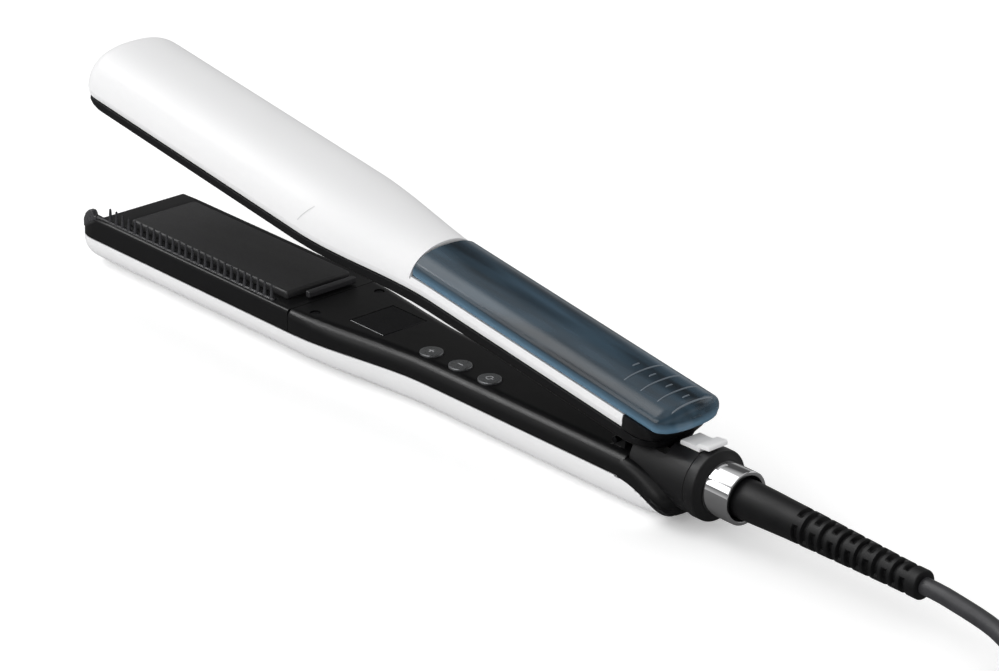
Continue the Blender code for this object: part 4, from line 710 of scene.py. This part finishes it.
class STRAIGHTENER_OT_shells(bpy.types.Operator):
    """Drapes the two pearl shells over the arms"""
    bl_idname = "straightener.shells"
    bl_label = "Pearl shells"

    def execute(self, context):
        self.upper()
        self.lower()
        return {'FINISHED'}

    def upper(self):
        """Crowned back with a narrow facet along both sides, open over the tank."""
        rows, lean, step = 54, 0.8 * MM, 0.22 * MM
        low_edge, high_edge = 3 / rows, 4 / rows    # the facet's share of the rows
        first = HEAD_TIP + SHELL_TUCK + NOSE_START

        def shape(along_share, across):
            x = nose_spacing(first, STRIP_REAR, along_share)
            rim, full, power = upper_section(x)
            depth = rim + (full - rim) * max(0.2, nose(x, HEAD_TIP + SHELL_TUCK, 10.0 * MM, 2.3))
            side = min(rim + FACET_HEIGHT, depth - 0.4 * MM)
            half = half_width(x, SHELL_TUCK)
            if min(across, 1 - across) < (low_edge + high_edge) / 2:
                away = min(across, 1 - across) / low_edge
                y, d = half - lean + (lean - step) * away, rim + (side - rim) * away
                y = y if across < 0.5 else -y
            else:
                angle = math.pi * (across - high_edge) / (1 - 2 * high_edge)
                y, d = crown(angle, half, side, depth, power)
            return Vector((x, y, ARM_FACE + d))

        bm = self.trough(first, rows, shape)
        bay = TANK_FRONT - 0.3 * MM
        cut_all(bm, (bay, 0, 0), (1, 0, 0))
        behind = [face for face in bm.faces if face.calc_center_median().x > bay]
        cut_away(bm, behind, (0, 0, ARM_FACE + STRIP_TOP), (0, 0, 1))
        walled(bm, WALL)
        on_upper_arm(bm)
        piece = finished("upper_shell_skin", bm, "pearl", "upper_arm", 40)
        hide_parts("upper_shell")

    def lower(self):
        """Round-backed trough, its rim swept down around the barrel."""
        first, last = HEAD_TIP + NOSE_START, SHELL_REAR

        def shape(along_share, across):
            x = nose_spacing(first, last, along_share)
            rim, side, depth, half, flat = lower_section(x)
            edge = 0.03
            if across < edge or across > 1 - edge:
                away = min(across, 1 - across) / edge
                y, d = half if across < 0.5 else -half, rim + (side - rim) * away
            else:
                angle = math.pi * (across - edge) / (1 - 2 * edge)
                y, d = crown(angle, half - flat, side, depth, LOWER_ROUND)
                y += flat * math.cos(angle) / max(0.25, abs(math.cos(angle)))
            return Vector((x, y, FACE_Z - d))

        bm = self.trough(first, 61, shape)
        self.sweep(bm)
        walled(bm, WALL)
        piece = finished("lower_shell_skin", bm, "pearl", "lower_arm", 40)
        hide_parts("lower_shell")

    def trough(self, first, rows, shape):
        """The draped surface of a shell, with a face over its blunt start."""
        bm = bmesh.new()
        draped(bm, 150, rows, shape)
        start = [edge for edge in bm.edges if edge.is_boundary
                 and all(vert.co.x < first + 1e-6 for vert in edge.verts)]
        bmesh.ops.contextual_create(bm, geom=start)
        return bm

    def sweep(self, bm, steps=10):
        """Cut the rim away along the quarter ellipse that runs down behind the frame."""
        line = [rim_sweep(i * math.pi / 2 / steps) for i in range(steps + 1)]
        line.append((line[-1][0] + 9 * MM, line[-1][1]))
        for (x0, z0), (x1, z1) in zip(line, line[1:]):
            lane = [face for face in bm.faces if face.calc_center_median().x > x0 - 1e-6]
            cut_away(bm, lane, (x0, 0, z0), (z0 - z1, 0, x1 - x0))


# ------------------------------------------------------------------ water tank

TANK_LOW = STRIP_TOP + 0.3 * MM
STERN_LENGTH = 7.0 * MM


def tank_crown(x, angle, inset=0.0):
    """Width and height of a point on the tank's back."""
    stern_half = HANDLE_HALF * nose(-x - inset, -STERN_END, STERN_LENGTH, 2.5)
    half = max(3.0 * MM, min(HANDLE_HALF - 0.3 * MM, stern_half) - inset)
    low = TANK_LOW + inset
    rise = max(0.45, nose(-x - inset, -STERN_END, 5.0 * MM, 2.4))
    top = TANK_LOW + (TANK_TOP - TANK_LOW) * rise - inset
    side = low + 1.8 * MM * (top - low) / (TANK_TOP - STRIP_TOP)
    return crown(angle, half, side, top, 2.2)


def tank_section(x, inset, steps=44):
    """Keel between the strips, then the full width under the crown, as one loop."""
    keel_height, keel_half, chamfer, ledge = 6.6 * MM, 12.6 * MM, 0.8 * MM, 0.5 * MM
    ramp_start, ramp_slope = -4.1 * MM, math.tan(math.radians(30.0))
    half = tank_crown(x, 0.0, inset)[0]
    low = TANK_LOW + inset
    keel = min(low - 0.05 * MM, keel_height + inset + max(0.0, x - ramp_start) * ramp_slope)
    narrow = min(keel_half - inset, half - 0.4 * MM)
    right = [(0.0, keel), (narrow - chamfer, keel), (narrow, keel + (low - keel) * 0.3),
             (narrow, low), (half - ledge, low)]
    back = [tank_crown(x, math.pi * i / steps, inset) for i in range(steps + 1)]
    return right + back + [(-y, d) for y, d in right[:0:-1]]


def lofted(bm, places, section):
    """A closed skin through one section after another, each a loop of (y, height)."""
    rings = [section(x) for x in places]
    count = len(rings[0])
    made = bmesh.ops.create_grid(bm, x_segments=len(places) - 1, y_segments=count,
                                 size=0.5)["verts"]
    for vert in made:
        i = round((vert.co.x + 0.5) * (len(places) - 1))
        j = round((vert.co.y + 0.5) * count) % count
        vert.co = (places[i], rings[i][j][0], ARM_FACE + rings[i][j][1])
    bmesh.ops.remove_doubles(bm, verts=made, dist=1e-7)
    fill_holes(bm)
    bmesh.ops.recalc_face_normals(bm, faces=bm.faces[:])
    return bm


class STRAIGHTENER_OT_tank(bpy.types.Operator):
    """Moulds the smoked tank with its wall and the grips at its rear"""
    bl_idname = "straightener.tank"
    bl_label = "Water tank"

    def execute(self, context):
        wall = 1.5 * MM
        outer = lofted(bmesh.new(), self.places(TANK_FRONT, STERN_END - 0.1 * MM),
                       lambda x: tank_section(x, 0.0))
        inner = lofted(bmesh.new(), self.places(TANK_FRONT + wall, STERN_END - 2.6 * MM),
                       lambda x: tank_section(x, wall))
        bmesh.ops.reverse_faces(inner, faces=inner.faces[:])
        mesh = as_mesh("tank_inside", inner)
        outer.from_mesh(mesh)
        bpy.data.meshes.remove(mesh)
        on_upper_arm(outer)
        piece = finished("tank_walls", outer, "tank", "tank_unit", 30,
                         outwards=False)
        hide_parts("water_tank")
        self.grips()
        return {'FINISHED'}

    def places(self, first, last):
        """Even steps, then close ones where the tank comes down at the rear."""
        bend = STERN_END - STERN_LENGTH
        steps = [first, first + 0.3 * MM, first + 0.9 * MM]
        steps += [first + (bend - first) * i / 24 for i in range(1, 25)]
        steps += [bend + (last - bend) * math.sin(i * math.pi / 24) for i in range(1, 13)]
        return steps

    def grips(self):
        """Seven low ribs, short and long by turns, and the rim of the rear face."""
        first, pitch, short, long = -6.4 * MM, 4.0 * MM, 1.7 * MM, 9.6 * MM
        wide, proud, sunk = 0.50 * MM, 0.42 * MM, 0.35
        for k in range(8):
            x = first + pitch * k if k < 7 else STERN_END - 3.0 * MM
            reach = long if k % 2 else short
            half = tank_crown(x, 0.0)[0]

            def shape(along_share, across):
                y = reach * (2 * along_share - 1)
                c = min(1.0, abs(y) / half) ** 1.1
                angle = math.acos(math.copysign(c, y))
                round_off = min(1.0, 6 * min(along_share, 1 - along_share)) ** 0.5
                turn = math.pi * across
                place = Vector((x - wide / 2 * math.cos(turn), *tank_crown(x, angle)))
                lift = proud * ((1 + sunk) * round_off * math.sin(turn) - sunk)
                return place + Vector((0, 0, ARM_FACE + lift))

            bm = bmesh.new()
            draped(bm, 28, 8, shape)
            fill_holes(bm)
            on_upper_arm(bm)
            # the pale grip finish is a painted highlight
            finished("tank_grip_%d" % (k + 1), bm, "grip", "tank_unit", 50)


# ------------------------------------------------------------------ tail

class STRAIGHTENER_OT_tail(bpy.types.Operator):
    """Makes the ring, the collar, the slotted boot, the lock and the skirt by the barrel"""
    bl_idname = "straightener.tail"
    bl_label = "Tail"

    def execute(self, context):
        self.skirt()
        self.ring()
        self.collar()
        self.boot()
        self.lock()
        return {'FINISHED'}

    def skirt(self):
        """Carries the frame's rounded side on, down between the barrel and the shell."""
        start, proud, rounding, tuck = math.radians(8.0), 0.06 * MM, 5.0 * MM, 1.0 * MM
        first_wide, last_wide = 8.0 * MM, 5.4 * MM
        flat_share, bent_share = 0.5, 0.35      # across: flat, then the round, then the tuck
        tuck_share = 1 - flat_share - bent_share
        bm = bmesh.new()
        for way in (1, -1):
            def shape(along_share, across):
                angle = start + (math.pi / 2 - start) * along_share
                x, z = rim_sweep(angle)
                normal = Vector((SWEEP_DROP * math.sin(angle),
                                 SWEEP_LENGTH * math.cos(angle))).normalized()
                wide = first_wide + (last_wide - first_wide) * smooth(0.0, 0.85, along_share)
                past = across - flat_share
                bend = math.pi / 2 * max(0.0, min(1.0, past / bent_share))
                out = (wide - rounding) * min(1.0, across / flat_share)
                out += rounding * math.sin(bend)
                x, z = x + normal.x * out, z + normal.y * out
                y, z = flank(min(x, SHELL_REAR - 0.3 * MM), z)
                inwards = Vector((-y, BARREL_AXIS - z)).normalized()
                push = rounding * (1 - math.cos(bend)) - proud
                push += tuck * max(0.0, (past - bent_share) / tuck_share)
                return Vector((x, way * (y + inwards.x * push), z + inwards.y * push))

            draped(bm, 40, 20, shape)
        bmesh.ops.remove_doubles(bm, verts=bm.verts[:], dist=0.02 * MM)
        walled(bm, 0.5 * MM)
        finished("barrel_skirt", bm, "frame", "lower_arm", 60)

    def ring(self):
        """Plated ring with a rolled rear edge."""
        low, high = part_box("chrome_ring")
        front, rear, radius = low.x, high.x, (high.z - low.z) / 2
        bore, roll = radius - 1.6 * MM, 0.5 * MM
        profile = [(front, bore), (front, radius - 0.15 * MM), (front + 0.15 * MM, radius)]
        profile += corner_round(rear - roll, radius - roll, roll, 0)
        profile += corner_round(rear - roll, bore + roll, roll, 90)
        bm = turned(bmesh.new(), profile, (low.z + high.z) / 2)
        piece = finished("ring_plated", bm, "chrome", "lower_arm", 40)
        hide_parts("chrome_ring")

    def collar(self):
        """Collar with soft edges and a cone up to the ring."""
        low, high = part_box("tail_collar")
        front, rear, radius = low.x, high.x, (high.z - low.z) / 2
        hole, side, soft, softer = 7.3 * MM, rear - 1.3 * MM, 0.5 * MM, 0.8 * MM
        profile = [(front, hole)]
        profile += corner_round(front + soft, radius - soft, soft, -90, 5)
        profile += corner_round(side - softer, radius - softer, softer, 0)
        profile += [(rear - 0.1 * MM, 9.9 * MM), (rear, 9.7 * MM), (rear, hole)]
        bm = turned(bmesh.new(), profile, (low.z + high.z) / 2)
        piece = finished("collar_turned", bm, "tail", "lower_arm", 35)
        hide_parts("tail_collar")

    def boot(self):
        """Tapered boot with thirteen pairs of slots, each pair a quarter turn on."""
        low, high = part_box("cord_boot")
        neck, waist, tip, lip = 6.9 * MM, 6.2 * MM, 5.1 * MM, 0.8 * MM
        front, ring_rear, body_end, ribs_end = 41.0 * MM, 50.0 * MM, 78.5 * MM, 119.5 * MM
        slots, first, pitch = 13, 77.2 * MM, 3.8 * MM
        slot_half, soft, depth = 1.0 * MM, 0.25 * MM, 1.45 * MM
        lean, reach, fade = math.radians(50), math.radians(71), 0.10
        sag, sag_from, sag_to = 1.56 * MM, 58.5 * MM, 158.4 * MM

        def radius(x, angle):
            if x < body_end:
                full = neck + (waist - neck) * smooth(ring_rear, body_end, x)
            else:
                full = waist + (tip - waist) * min(1.0, (x - body_end) / (ribs_end - body_end))
            k = round((x - first) / pitch)
            if 0 <= k < slots:
                off = abs(x - first - k * pitch)
                centre = math.pi + lean if k % 2 == 0 else math.pi / 2 + lean
                away = abs((angle - centre + math.pi / 2) % math.pi - math.pi / 2)
                across = 1 - smooth(slot_half - soft, slot_half + soft, off)
                full -= depth * across * (1 - smooth(reach - fade, reach + fade, away))
            past = max(0.0, x - high.x + lip)
            return full - lip + math.sqrt(max(0.0, lip ** 2 - past ** 2))

        def shape(along_share, across):
            x = front + (high.x - front) * along_share
            angle = 2 * math.pi * across
            droop = sag * smooth(sag_from, sag_to, x)
            r = radius(x, angle)
            return Vector((x, r * math.cos(angle), BARREL_AXIS - droop + r * math.sin(angle)))

        bm = bmesh.new()
        draped(bm, 440, 96, shape)
        bmesh.ops.remove_doubles(bm, verts=bm.verts[:], dist=1e-6)
        fill_holes(bm)
        flange = ((0, 5.0), (0, 8.7), (2, 8.7), (2, 5.0))
        turned(bm, [(low.x + x * MM, r * MM) for x, r in flange], BARREL_AXIS)
        piece = finished("boot_slotted", bm, "rubber", "boot_unit", 40)
        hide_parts("cord_boot")

    def lock(self):
        """Slider with a raised finger ridge that reaches out over the collar."""
        low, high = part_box("lock_slider")
        rear, over, top, edge = 32.0 * MM, 29.2 * MM, 29.6 * MM, 0.5 * MM
        outline = [(low.x, low.z), (rear, low.z), (rear, over), (high.x, over + edge),
                   (high.x, high.z - edge), (high.x - edge, high.z),
                   (rear - edge, high.z - edge), (rear - 4 * edge, top),
                   (low.x + edge, top), (low.x, top - edge)]
        bm = extruded(bmesh.new(), outline, low.y, high.y, 0.22 * MM)
        piece = finished("lock_moulded", bm, "pearl", "lock_unit", 50)
        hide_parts("lock_slider")


# ------------------------------------------------------------------ comb

class STRAIGHTENER_OT_comb(bpy.types.Operator):
    """Moulds the comb: a rib in its groove, a row of rounded teeth and a finger tab"""
    bl_idname = "straightener.comb"
    bl_label = "Comb"

    def execute(self, context):
        low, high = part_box("comb")
        middle, near = -19.0 * MM, -19.75 * MM
        front, rear = -276.6 * MM, high.x
        foot_low, foot_high = FACE_Z - 2.6 * MM, FACE_Z - 1.0 * MM
        bm = bmesh.new()
        block(bm, (rear - front, 2.6 * MM, foot_high - foot_low),
              ((front + rear) / 2, near + 1.3 * MM, (foot_low + foot_high) / 2), 0.15 * MM)
        block(bm, (rear - front, 1.5 * MM, 2.0 * MM),
              ((front + rear) / 2, middle, FACE_Z - 0.8 * MM), 0.25 * MM, 3)
        for k in range(26):
            self.tooth(bm, Vector((-268.4 * MM + k * 3.85 * MM, middle, FACE_Z)), high.z)
        self.tab(bm, front, near, low)
        piece = finished("comb_moulded", bm, "comb", "comb_unit", 45)
        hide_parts("comb")
        return {'FINISHED'}

    def tooth(self, bm, foot, top):
        """A slim cone on a flared root, its tip rounded off."""
        profile = ((-0.1, 1.05), (0.25, 0.80), (0.8, 0.70), (3.0, 0.56), (4.7, 0.46),
                   (5.15, 0.36), (5.35, 0.18))
        reach = (top - foot.z) / (5.4 * MM)
        points = [bm.verts.new(foot + Vector((r * MM, 0, z * MM * reach)))
                  for z, r in profile]
        points.append(bm.verts.new(foot + Vector((0, 0, 5.4 * MM * reach))))
        edges = [bm.edges.new(pair) for pair in zip(points, points[1:])]
        bmesh.ops.spin(bm, geom=points + edges, cent=foot, axis=(0, 0, 1),
                       angle=2 * math.pi, steps=14, use_merge=True)

    def tab(self, bm, front, near, low):
        notch, reach, crest = front - 1.6 * MM, low.x, FACE_Z + 1.5 * MM
        foot_low = FACE_Z - 2.4 * MM
        outline = [(front + 1 * MM, foot_low), (front + 1 * MM, FACE_Z - 0.3 * MM),
                   (notch, FACE_Z - 0.3 * MM), (notch - 0.56 * MM, crest - 0.7 * MM),
                   (notch - 1.4 * MM, crest), (notch - 3.3 * MM, crest - 0.2 * MM),
                   (reach + 1.3 * MM, FACE_Z - 0.5 * MM), (reach, FACE_Z - 3.1 * MM),
                   (reach, low.z), (reach + 3.6 * MM, low.z), (notch, foot_low)]
        extruded(bm, outline, near + 0.1 * MM, near + 2.5 * MM, 0.3 * MM)


# ------------------------------------------------------------------ the lead

def route_points(route, spacing):
    """Points a steady distance apart on a smooth curve through the route's own points."""
    dense = []
    padded = [2 * route[0] - route[1]] + route + [2 * route[-1] - route[-2]]
    for a, b, c, d in zip(padded, padded[1:], padded[2:], padded[3:]):
        for i in range(24):
            t = i / 24
            dense.append(0.5 * (2 * b + (c - a) * t + (2 * a - 5 * b + 4 * c - d) * t * t
                                + (3 * b - a - 3 * c + d) * t ** 3))
    dense.append(route[-1])
    kept = [dense[0]]
    for point in dense[1:-1]:
        if (point - kept[-1]).length >= spacing:
            kept.append(point)
    kept.append(dense[-1])
    return kept


def hank_point(lead, radius, part):
    """A point on a long loop round the hank's middle, from the start of its near run."""
    run, bend = 3, 9                # steps in a straight run and in an end bend
    step = part * 2 * (run + bend)
    turned = step > run + bend
    step -= (run + bend) * turned
    if step <= run:
        x, y = lead.run * (step / run - 0.5), -radius
    else:
        angle = math.pi * (step - run) / bend - math.pi / 2
        x, y = lead.run / 2 + radius * math.cos(angle), radius * math.sin(angle)
    return (-x, -y) if turned else (x, y)


def hank_points(lead, per_turn=72):
    """Three layers of long turns: inwards on the floor, then outwards, then inwards."""
    depth = lead.turns / lead.layers
    lowest, climb_half = lead.tie + 0.3 * MM + lead.radius, 0.25
    points = []
    for i in range(lead.turns * per_turn + 1):
        turn = i / per_turn
        away = turn / depth % 2
        away = away if away <= 1 else 2 - away
        climb = sum(smooth(k * depth - climb_half, k * depth + climb_half, turn)
                    for k in range(1, lead.layers))
        x, y = hank_point(lead, lead.inner + lead.pitch * depth * (1 - away), turn % 1.0)
        points.append(Vector((lead.middle + x, y, lowest + lead.pitch * climb)))
    return points


class STRAIGHTENER_OT_lead(bpy.types.Operator):
    """Lays the mains lead from the boot through its hank to the plug"""
    bl_idname = "straightener.lead"
    bl_label = "Mains lead"

    def execute(self, context):
        lead = context.scene.straightener_lead
        exit_point = Vector((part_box("cord_boot")[1].x, 0, 14.965 * MM))
        hank = hank_points(lead)
        route = [exit_point, exit_point + Vector((10.3 * MM, 0, -0.5 * MM)),
                 Vector((159, -0.5, 11.6)) * MM, Vector((173, -5.0, 8.0)) * MM,
                 Vector((186, -13.5, 5.2)) * MM, Vector((199, -23.2, 4.1)) * MM,
                 Vector((210, -28.2, 3.9)) * MM, hank[0]]
        start = hank[-1]
        plug_offset, plug_rise = 12.55 * MM, 7.15 * MM      # where the lead enters the plug
        neck = Vector((lead.middle + plug_offset, 0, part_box("cord_coil")[1].z + plug_rise))
        rise = neck.z - start.z
        tail = [start, start + Vector((7 * MM, 0, 0.2 * MM)),
                Vector((lead.middle - 18 * MM, start.y * 0.78, start.z + rise * 0.33)),
                Vector((lead.middle - 6 * MM, start.y * 0.34, start.z + rise * 0.79)),
                neck - Vector((7 * MM, -start.y * 0.01, 0.1 * MM)), neck]
        points = route_points(route, 4 * MM)[:-1] + hank + route_points(tail, 4 * MM)[1:]
        curve = bpy.data.curves.new("mains_lead", 'CURVE')
        curve.dimensions = '3D'
        curve.bevel_depth = lead.radius
        curve.bevel_resolution = 6
        curve.use_fill_caps = True
        spline = curve.splines.new('POLY')
        spline.points.add(len(points) - 1)
        for target, point in zip(spline.points, points):
            target.co = (*point, 1.0)
        curve.materials.append(FINISHES["lead"])
        piece = placed("mains_lead", curve)
        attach(piece, "lower_arm")
        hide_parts("cord", "cord_coil", "cord_end")
        total = sum((b - a).length for a, b in zip(points, points[1:]))
        return {'FINISHED'}


# ------------------------------------------------------------------ signs and marks

class STRAIGHTENER_OT_signs(bpy.types.Operator):
    """Puts the signs on the buttons, the tick on the shell and a painted glint along the window's
    near edge
    """
    bl_idname = "straightener.signs"
    bl_label = "Signs and marks"

    def execute(self, context):
        for node, body in (("button_plus", "plus_key"), ("button_minus", "minus_key"),
                           ("button_power", "power_key")):
            low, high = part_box(node)
            middle = Vector(((low.x + high.x) / 2, (low.y + high.y) / 2, high.z))
            bm = bmesh.new()
            bar = (2.6 * MM, 0.36 * MM, 0.08 * MM)
            if node == "button_power":
                self.power_sign(bm, middle)
            else:
                block(bm, bar, middle)
            if node == "button_plus":
                for way in (1, -1):
                    block(bm, (bar[1], (bar[0] - bar[1]) / 2, bar[2]),
                          middle + Vector((0, way * (bar[0] + bar[1]) / 4, 0)))
            finished(node + "_sign", bm, "mark", body)
        self.tick()
        # painted glint: a thin pale strip along the window's near edge
        low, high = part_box("display_window")
        edge = block(bmesh.new(), (high.x - low.x - 0.3 * MM, 0.24 * MM, 0.06 * MM),
                     ((low.x + high.x) / 2, low.y + 0.12 * MM, high.z), 0.02 * MM)
        finished("window_edge_painted_glint", edge, "mark", "lower_arm")
        return {'FINISHED'}

    def tick(self):
        """A short fine line across the near side of the upper shell's waist."""
        def shape(along_share, across):
            x = (-157.5 + 5.0 * along_share + 0.3 * (across - 0.5)) * MM
            angle = math.radians(173 - 27 * along_share)
            rim, depth, power = upper_section(x)
            y, d = crown(angle, half_width(x), rim + FACET_HEIGHT, depth, power)
            return Vector((x, y - 0.03 * MM, ARM_FACE + d + 0.02 * MM))

        bm = bmesh.new()
        draped(bm, 40, 2, shape)
        walled(bm, 0.08 * MM)
        on_upper_arm(bm)
        finished("shell_tick", bm, "tick", "upper_arm", 60)

    def power_sign(self, bm, middle):
        """Three quarters of a circle, and a bar in the gap."""
        radius, wide, high = 1.25 * MM, 0.36 * MM, 0.08 * MM
        gap = math.radians(42)
        start = Matrix.Rotation(gap, 4, 'Z')
        corners = [bm.verts.new(middle + start @ Vector((r, 0, z)))
                   for r, z in ((radius - wide / 2, -high / 2), (radius + wide / 2, -high / 2),
                                (radius + wide / 2, high / 2), (radius - wide / 2, high / 2))]
        face = bm.faces.new(corners)
        bmesh.ops.spin(bm, geom=[face, *face.edges, *corners], cent=middle, axis=(0, 0, 1),
                       angle=2 * math.pi - 2 * gap, steps=20, use_merge=False)
        block(bm, (1.5 * MM, wide, high), middle + Vector((radius * 0.85, 0, 0)))


# ------------------------------------------------------------------ finishes on the CAD pieces

class STRAIGHTENER_OT_finishes(bpy.types.Operator):
    """Gives every CAD piece its own detailed finish"""
    bl_idname = "straightener.finishes"
    bl_label = "Finishes"

    def execute(self, context):
        FINISHES.update(make_finishes(context.scene.straightener_colours))
        for finish, nodes in NODE_FINISH.items():
            for node in nodes.split():
                mesh = frame["nodes"][node].data
                mesh.materials.clear()
                mesh.materials.append(FINISHES[finish])
        return {'FINISHED'}


# ------------------------------------------------------------------ studio

class STRAIGHTENER_OT_stage(bpy.types.Operator):
    """Sets up the pale floor, the soft lights and the camera"""
    bl_idname = "straightener.stage"
    bl_label = "Studio"

    def execute(self, context):
        stage = context.scene.straightener_stage
        self.floor(stage)
        self.sky(context, stage)
        self.lights(stage)
        self.camera(context, stage)
        context.scene.view_settings.view_transform = 'Standard'
        return {'FINISHED'}

    def floor(self, stage):
        """White paper for the viewer, grey in reflections, with the tool's shadow on it."""
        bm = bmesh.new()
        bmesh.ops.create_grid(bm, x_segments=1, y_segments=1, size=stage.floor_size / 2)
        bmesh.ops.translate(bm, verts=bm.verts[:], vec=(0, 0, -0.05 * MM))
        mesh = as_mesh("floor", bm)
        floor = placed("floor", mesh)
        finish = Finish("floor_paper", (0.8, 0.8, 0.8), Roughness=1.0)
        finish.set("Specular IOR Level", 0.0)
        seen, path = finish.seen()
        white = finish.spread(seen, 0.95, 1.0, 0.0, 1.0)
        grey = finish.spread(path.outputs["Is Glossy Ray"], 1.0, 0.17, 0.0, 1.0)
        finish.link(finish.math('MULTIPLY', white, grey), "Base Color")
        glow = finish.spread(seen, 0.0, stage.glow, 0.0, 1.0)
        finish.set("Emission Color", (1.0, 1.0, 1.0, 1.0))
        finish.link(glow, "Emission Strength")
        mesh.materials.append(finish.material)

    def sky(self, context, stage):
        """White for the viewer, even light for the pieces, and a graded sky for gloss."""
        world = bpy.data.worlds.new("studio")
        world.use_nodes = True
        sky = Nodes(world.node_tree, "Generated")
        seen, path = sky.seen()
        height = sky.height(sky.place)
        towards = sky.node('ShaderNodeVectorMath', operation='DOT_PRODUCT')
        towards.inputs[1].default_value = Vector((-0.64, -0.18, 0.745)).normalized()
        sky.link(sky.place, towards.inputs[0])
        gloss = sky.spread(height, stage.horizon, stage.middle, 0.02, 0.30)
        for patch in (sky.spread(height, 0.0, stage.overhead, 0.60, 0.78),
                      sky.spread(towards.outputs["Value"], 0.0, stage.panel, 0.90, 0.97)):
            gloss = sky.math('MAXIMUM', gloss, patch)
        factor, first, second = 0, 2, 3     # a plain mix's sockets by their places
        lit = sky.node('ShaderNodeMix')
        lit.inputs[first].default_value = stage.sky
        sky.link(path.outputs["Is Glossy Ray"], lit.inputs[factor])
        sky.link(gloss, lit.inputs[second])
        shown = sky.node('ShaderNodeMix')
        shown.inputs[second].default_value = 1.0
        sky.link(seen, shown.inputs[factor])
        sky.link(lit.outputs[0], shown.inputs[first])
        background = sky.tree.nodes["Background"]
        sky.link(shown.outputs[0], background.inputs["Strength"])
        background.inputs["Color"].default_value = (1, 1, 1, 1)
        context.scene.world = world

    def lights(self, stage):
        """A large key from the near side, a strip beyond the head and a fill behind."""
        for name, place, aim_height, size, power in (
                ("key_light", (-0.35, -1.62, 0.98), 0.03, (2.0, 0.8), stage.key),
                ("strip_light", (-1.35, -0.62, 1.2), 0.04, (0.9, 0.26), stage.strip),
                ("fill_light", (0.3, 1.7, 0.8), 0.04, (1.6, 0.8), stage.fill)):
            data = bpy.data.lights.new(name, 'AREA')
            data.shape = 'RECTANGLE'
            data.size, data.size_y = size
            data.energy = power
            lamp = placed(name, data)
            aim = Vector((-0.10, 0, aim_height)) - Vector(place)
            lamp.rotation_mode = 'QUATERNION'
            lamp.rotation_quaternion = aim.to_track_quat('-Z', 'Y')
            lamp.location = place

    def camera(self, context, stage):
        data = bpy.data.cameras.new("camera")
        data.lens = stage.lens
        data.sensor_width = 36.0
        data.clip_end = 50.0
        camera = placed("camera", data)
        camera.location = stage.camera_place
        camera.rotation_euler = stage.camera_turn
        context.scene.camera = camera


# ------------------------------------------------------------------ panel and start

class STRAIGHTENER_PT_panel(bpy.types.Panel):
    """Lists the builders and their settings"""
    bl_idname = "STRAIGHTENER_PT_panel"
    bl_label = "Steam hair straightener"
    bl_space_type = 'VIEW_3D'
    bl_region_type = 'UI'
    bl_category = "Straightener"

    def draw(self, context):
        for operator in OPERATORS:
            self.layout.operator(operator.bl_idname)
        for group in (context.scene.straightener_colours, context.scene.straightener_lead,
                      context.scene.straightener_stage):
            box = self.layout.box()
            for name in group.bl_rna.properties.keys():
                if name not in ("rna_type", "name"):
                    box.prop(group, name)


OPERATORS = (STRAIGHTENER_OT_stage, STRAIGHTENER_OT_finishes, STRAIGHTENER_OT_lead,
             STRAIGHTENER_OT_frames, STRAIGHTENER_OT_shells, STRAIGHTENER_OT_tank,
             STRAIGHTENER_OT_tail, STRAIGHTENER_OT_comb, STRAIGHTENER_OT_signs)
SETTINGS = {"straightener_colours": StraightenerColours,
            "straightener_lead": StraightenerLead,
            "straightener_stage": StraightenerStage}


def register():
    for group in SETTINGS.values():
        bpy.utils.register_class(group)
    for name, group in SETTINGS.items():
        setattr(bpy.types.Scene, name, PointerProperty(type=group))
    for operator in OPERATORS:
        bpy.utils.register_class(operator)
    bpy.utils.register_class(STRAIGHTENER_PT_panel)


def unregister():
    bpy.utils.unregister_class(STRAIGHTENER_PT_panel)
    for operator in reversed(OPERATORS):
        bpy.utils.unregister_class(operator)
    for name, group in reversed(SETTINGS.items()):
        delattr(bpy.types.Scene, name)
        bpy.utils.unregister_class(group)


def main():
    register()
    for operator in OPERATORS:
        group, name = operator.bl_idname.split(".")
        getattr(getattr(bpy.ops, group), name)()


if __name__ == "__main__":
    main()
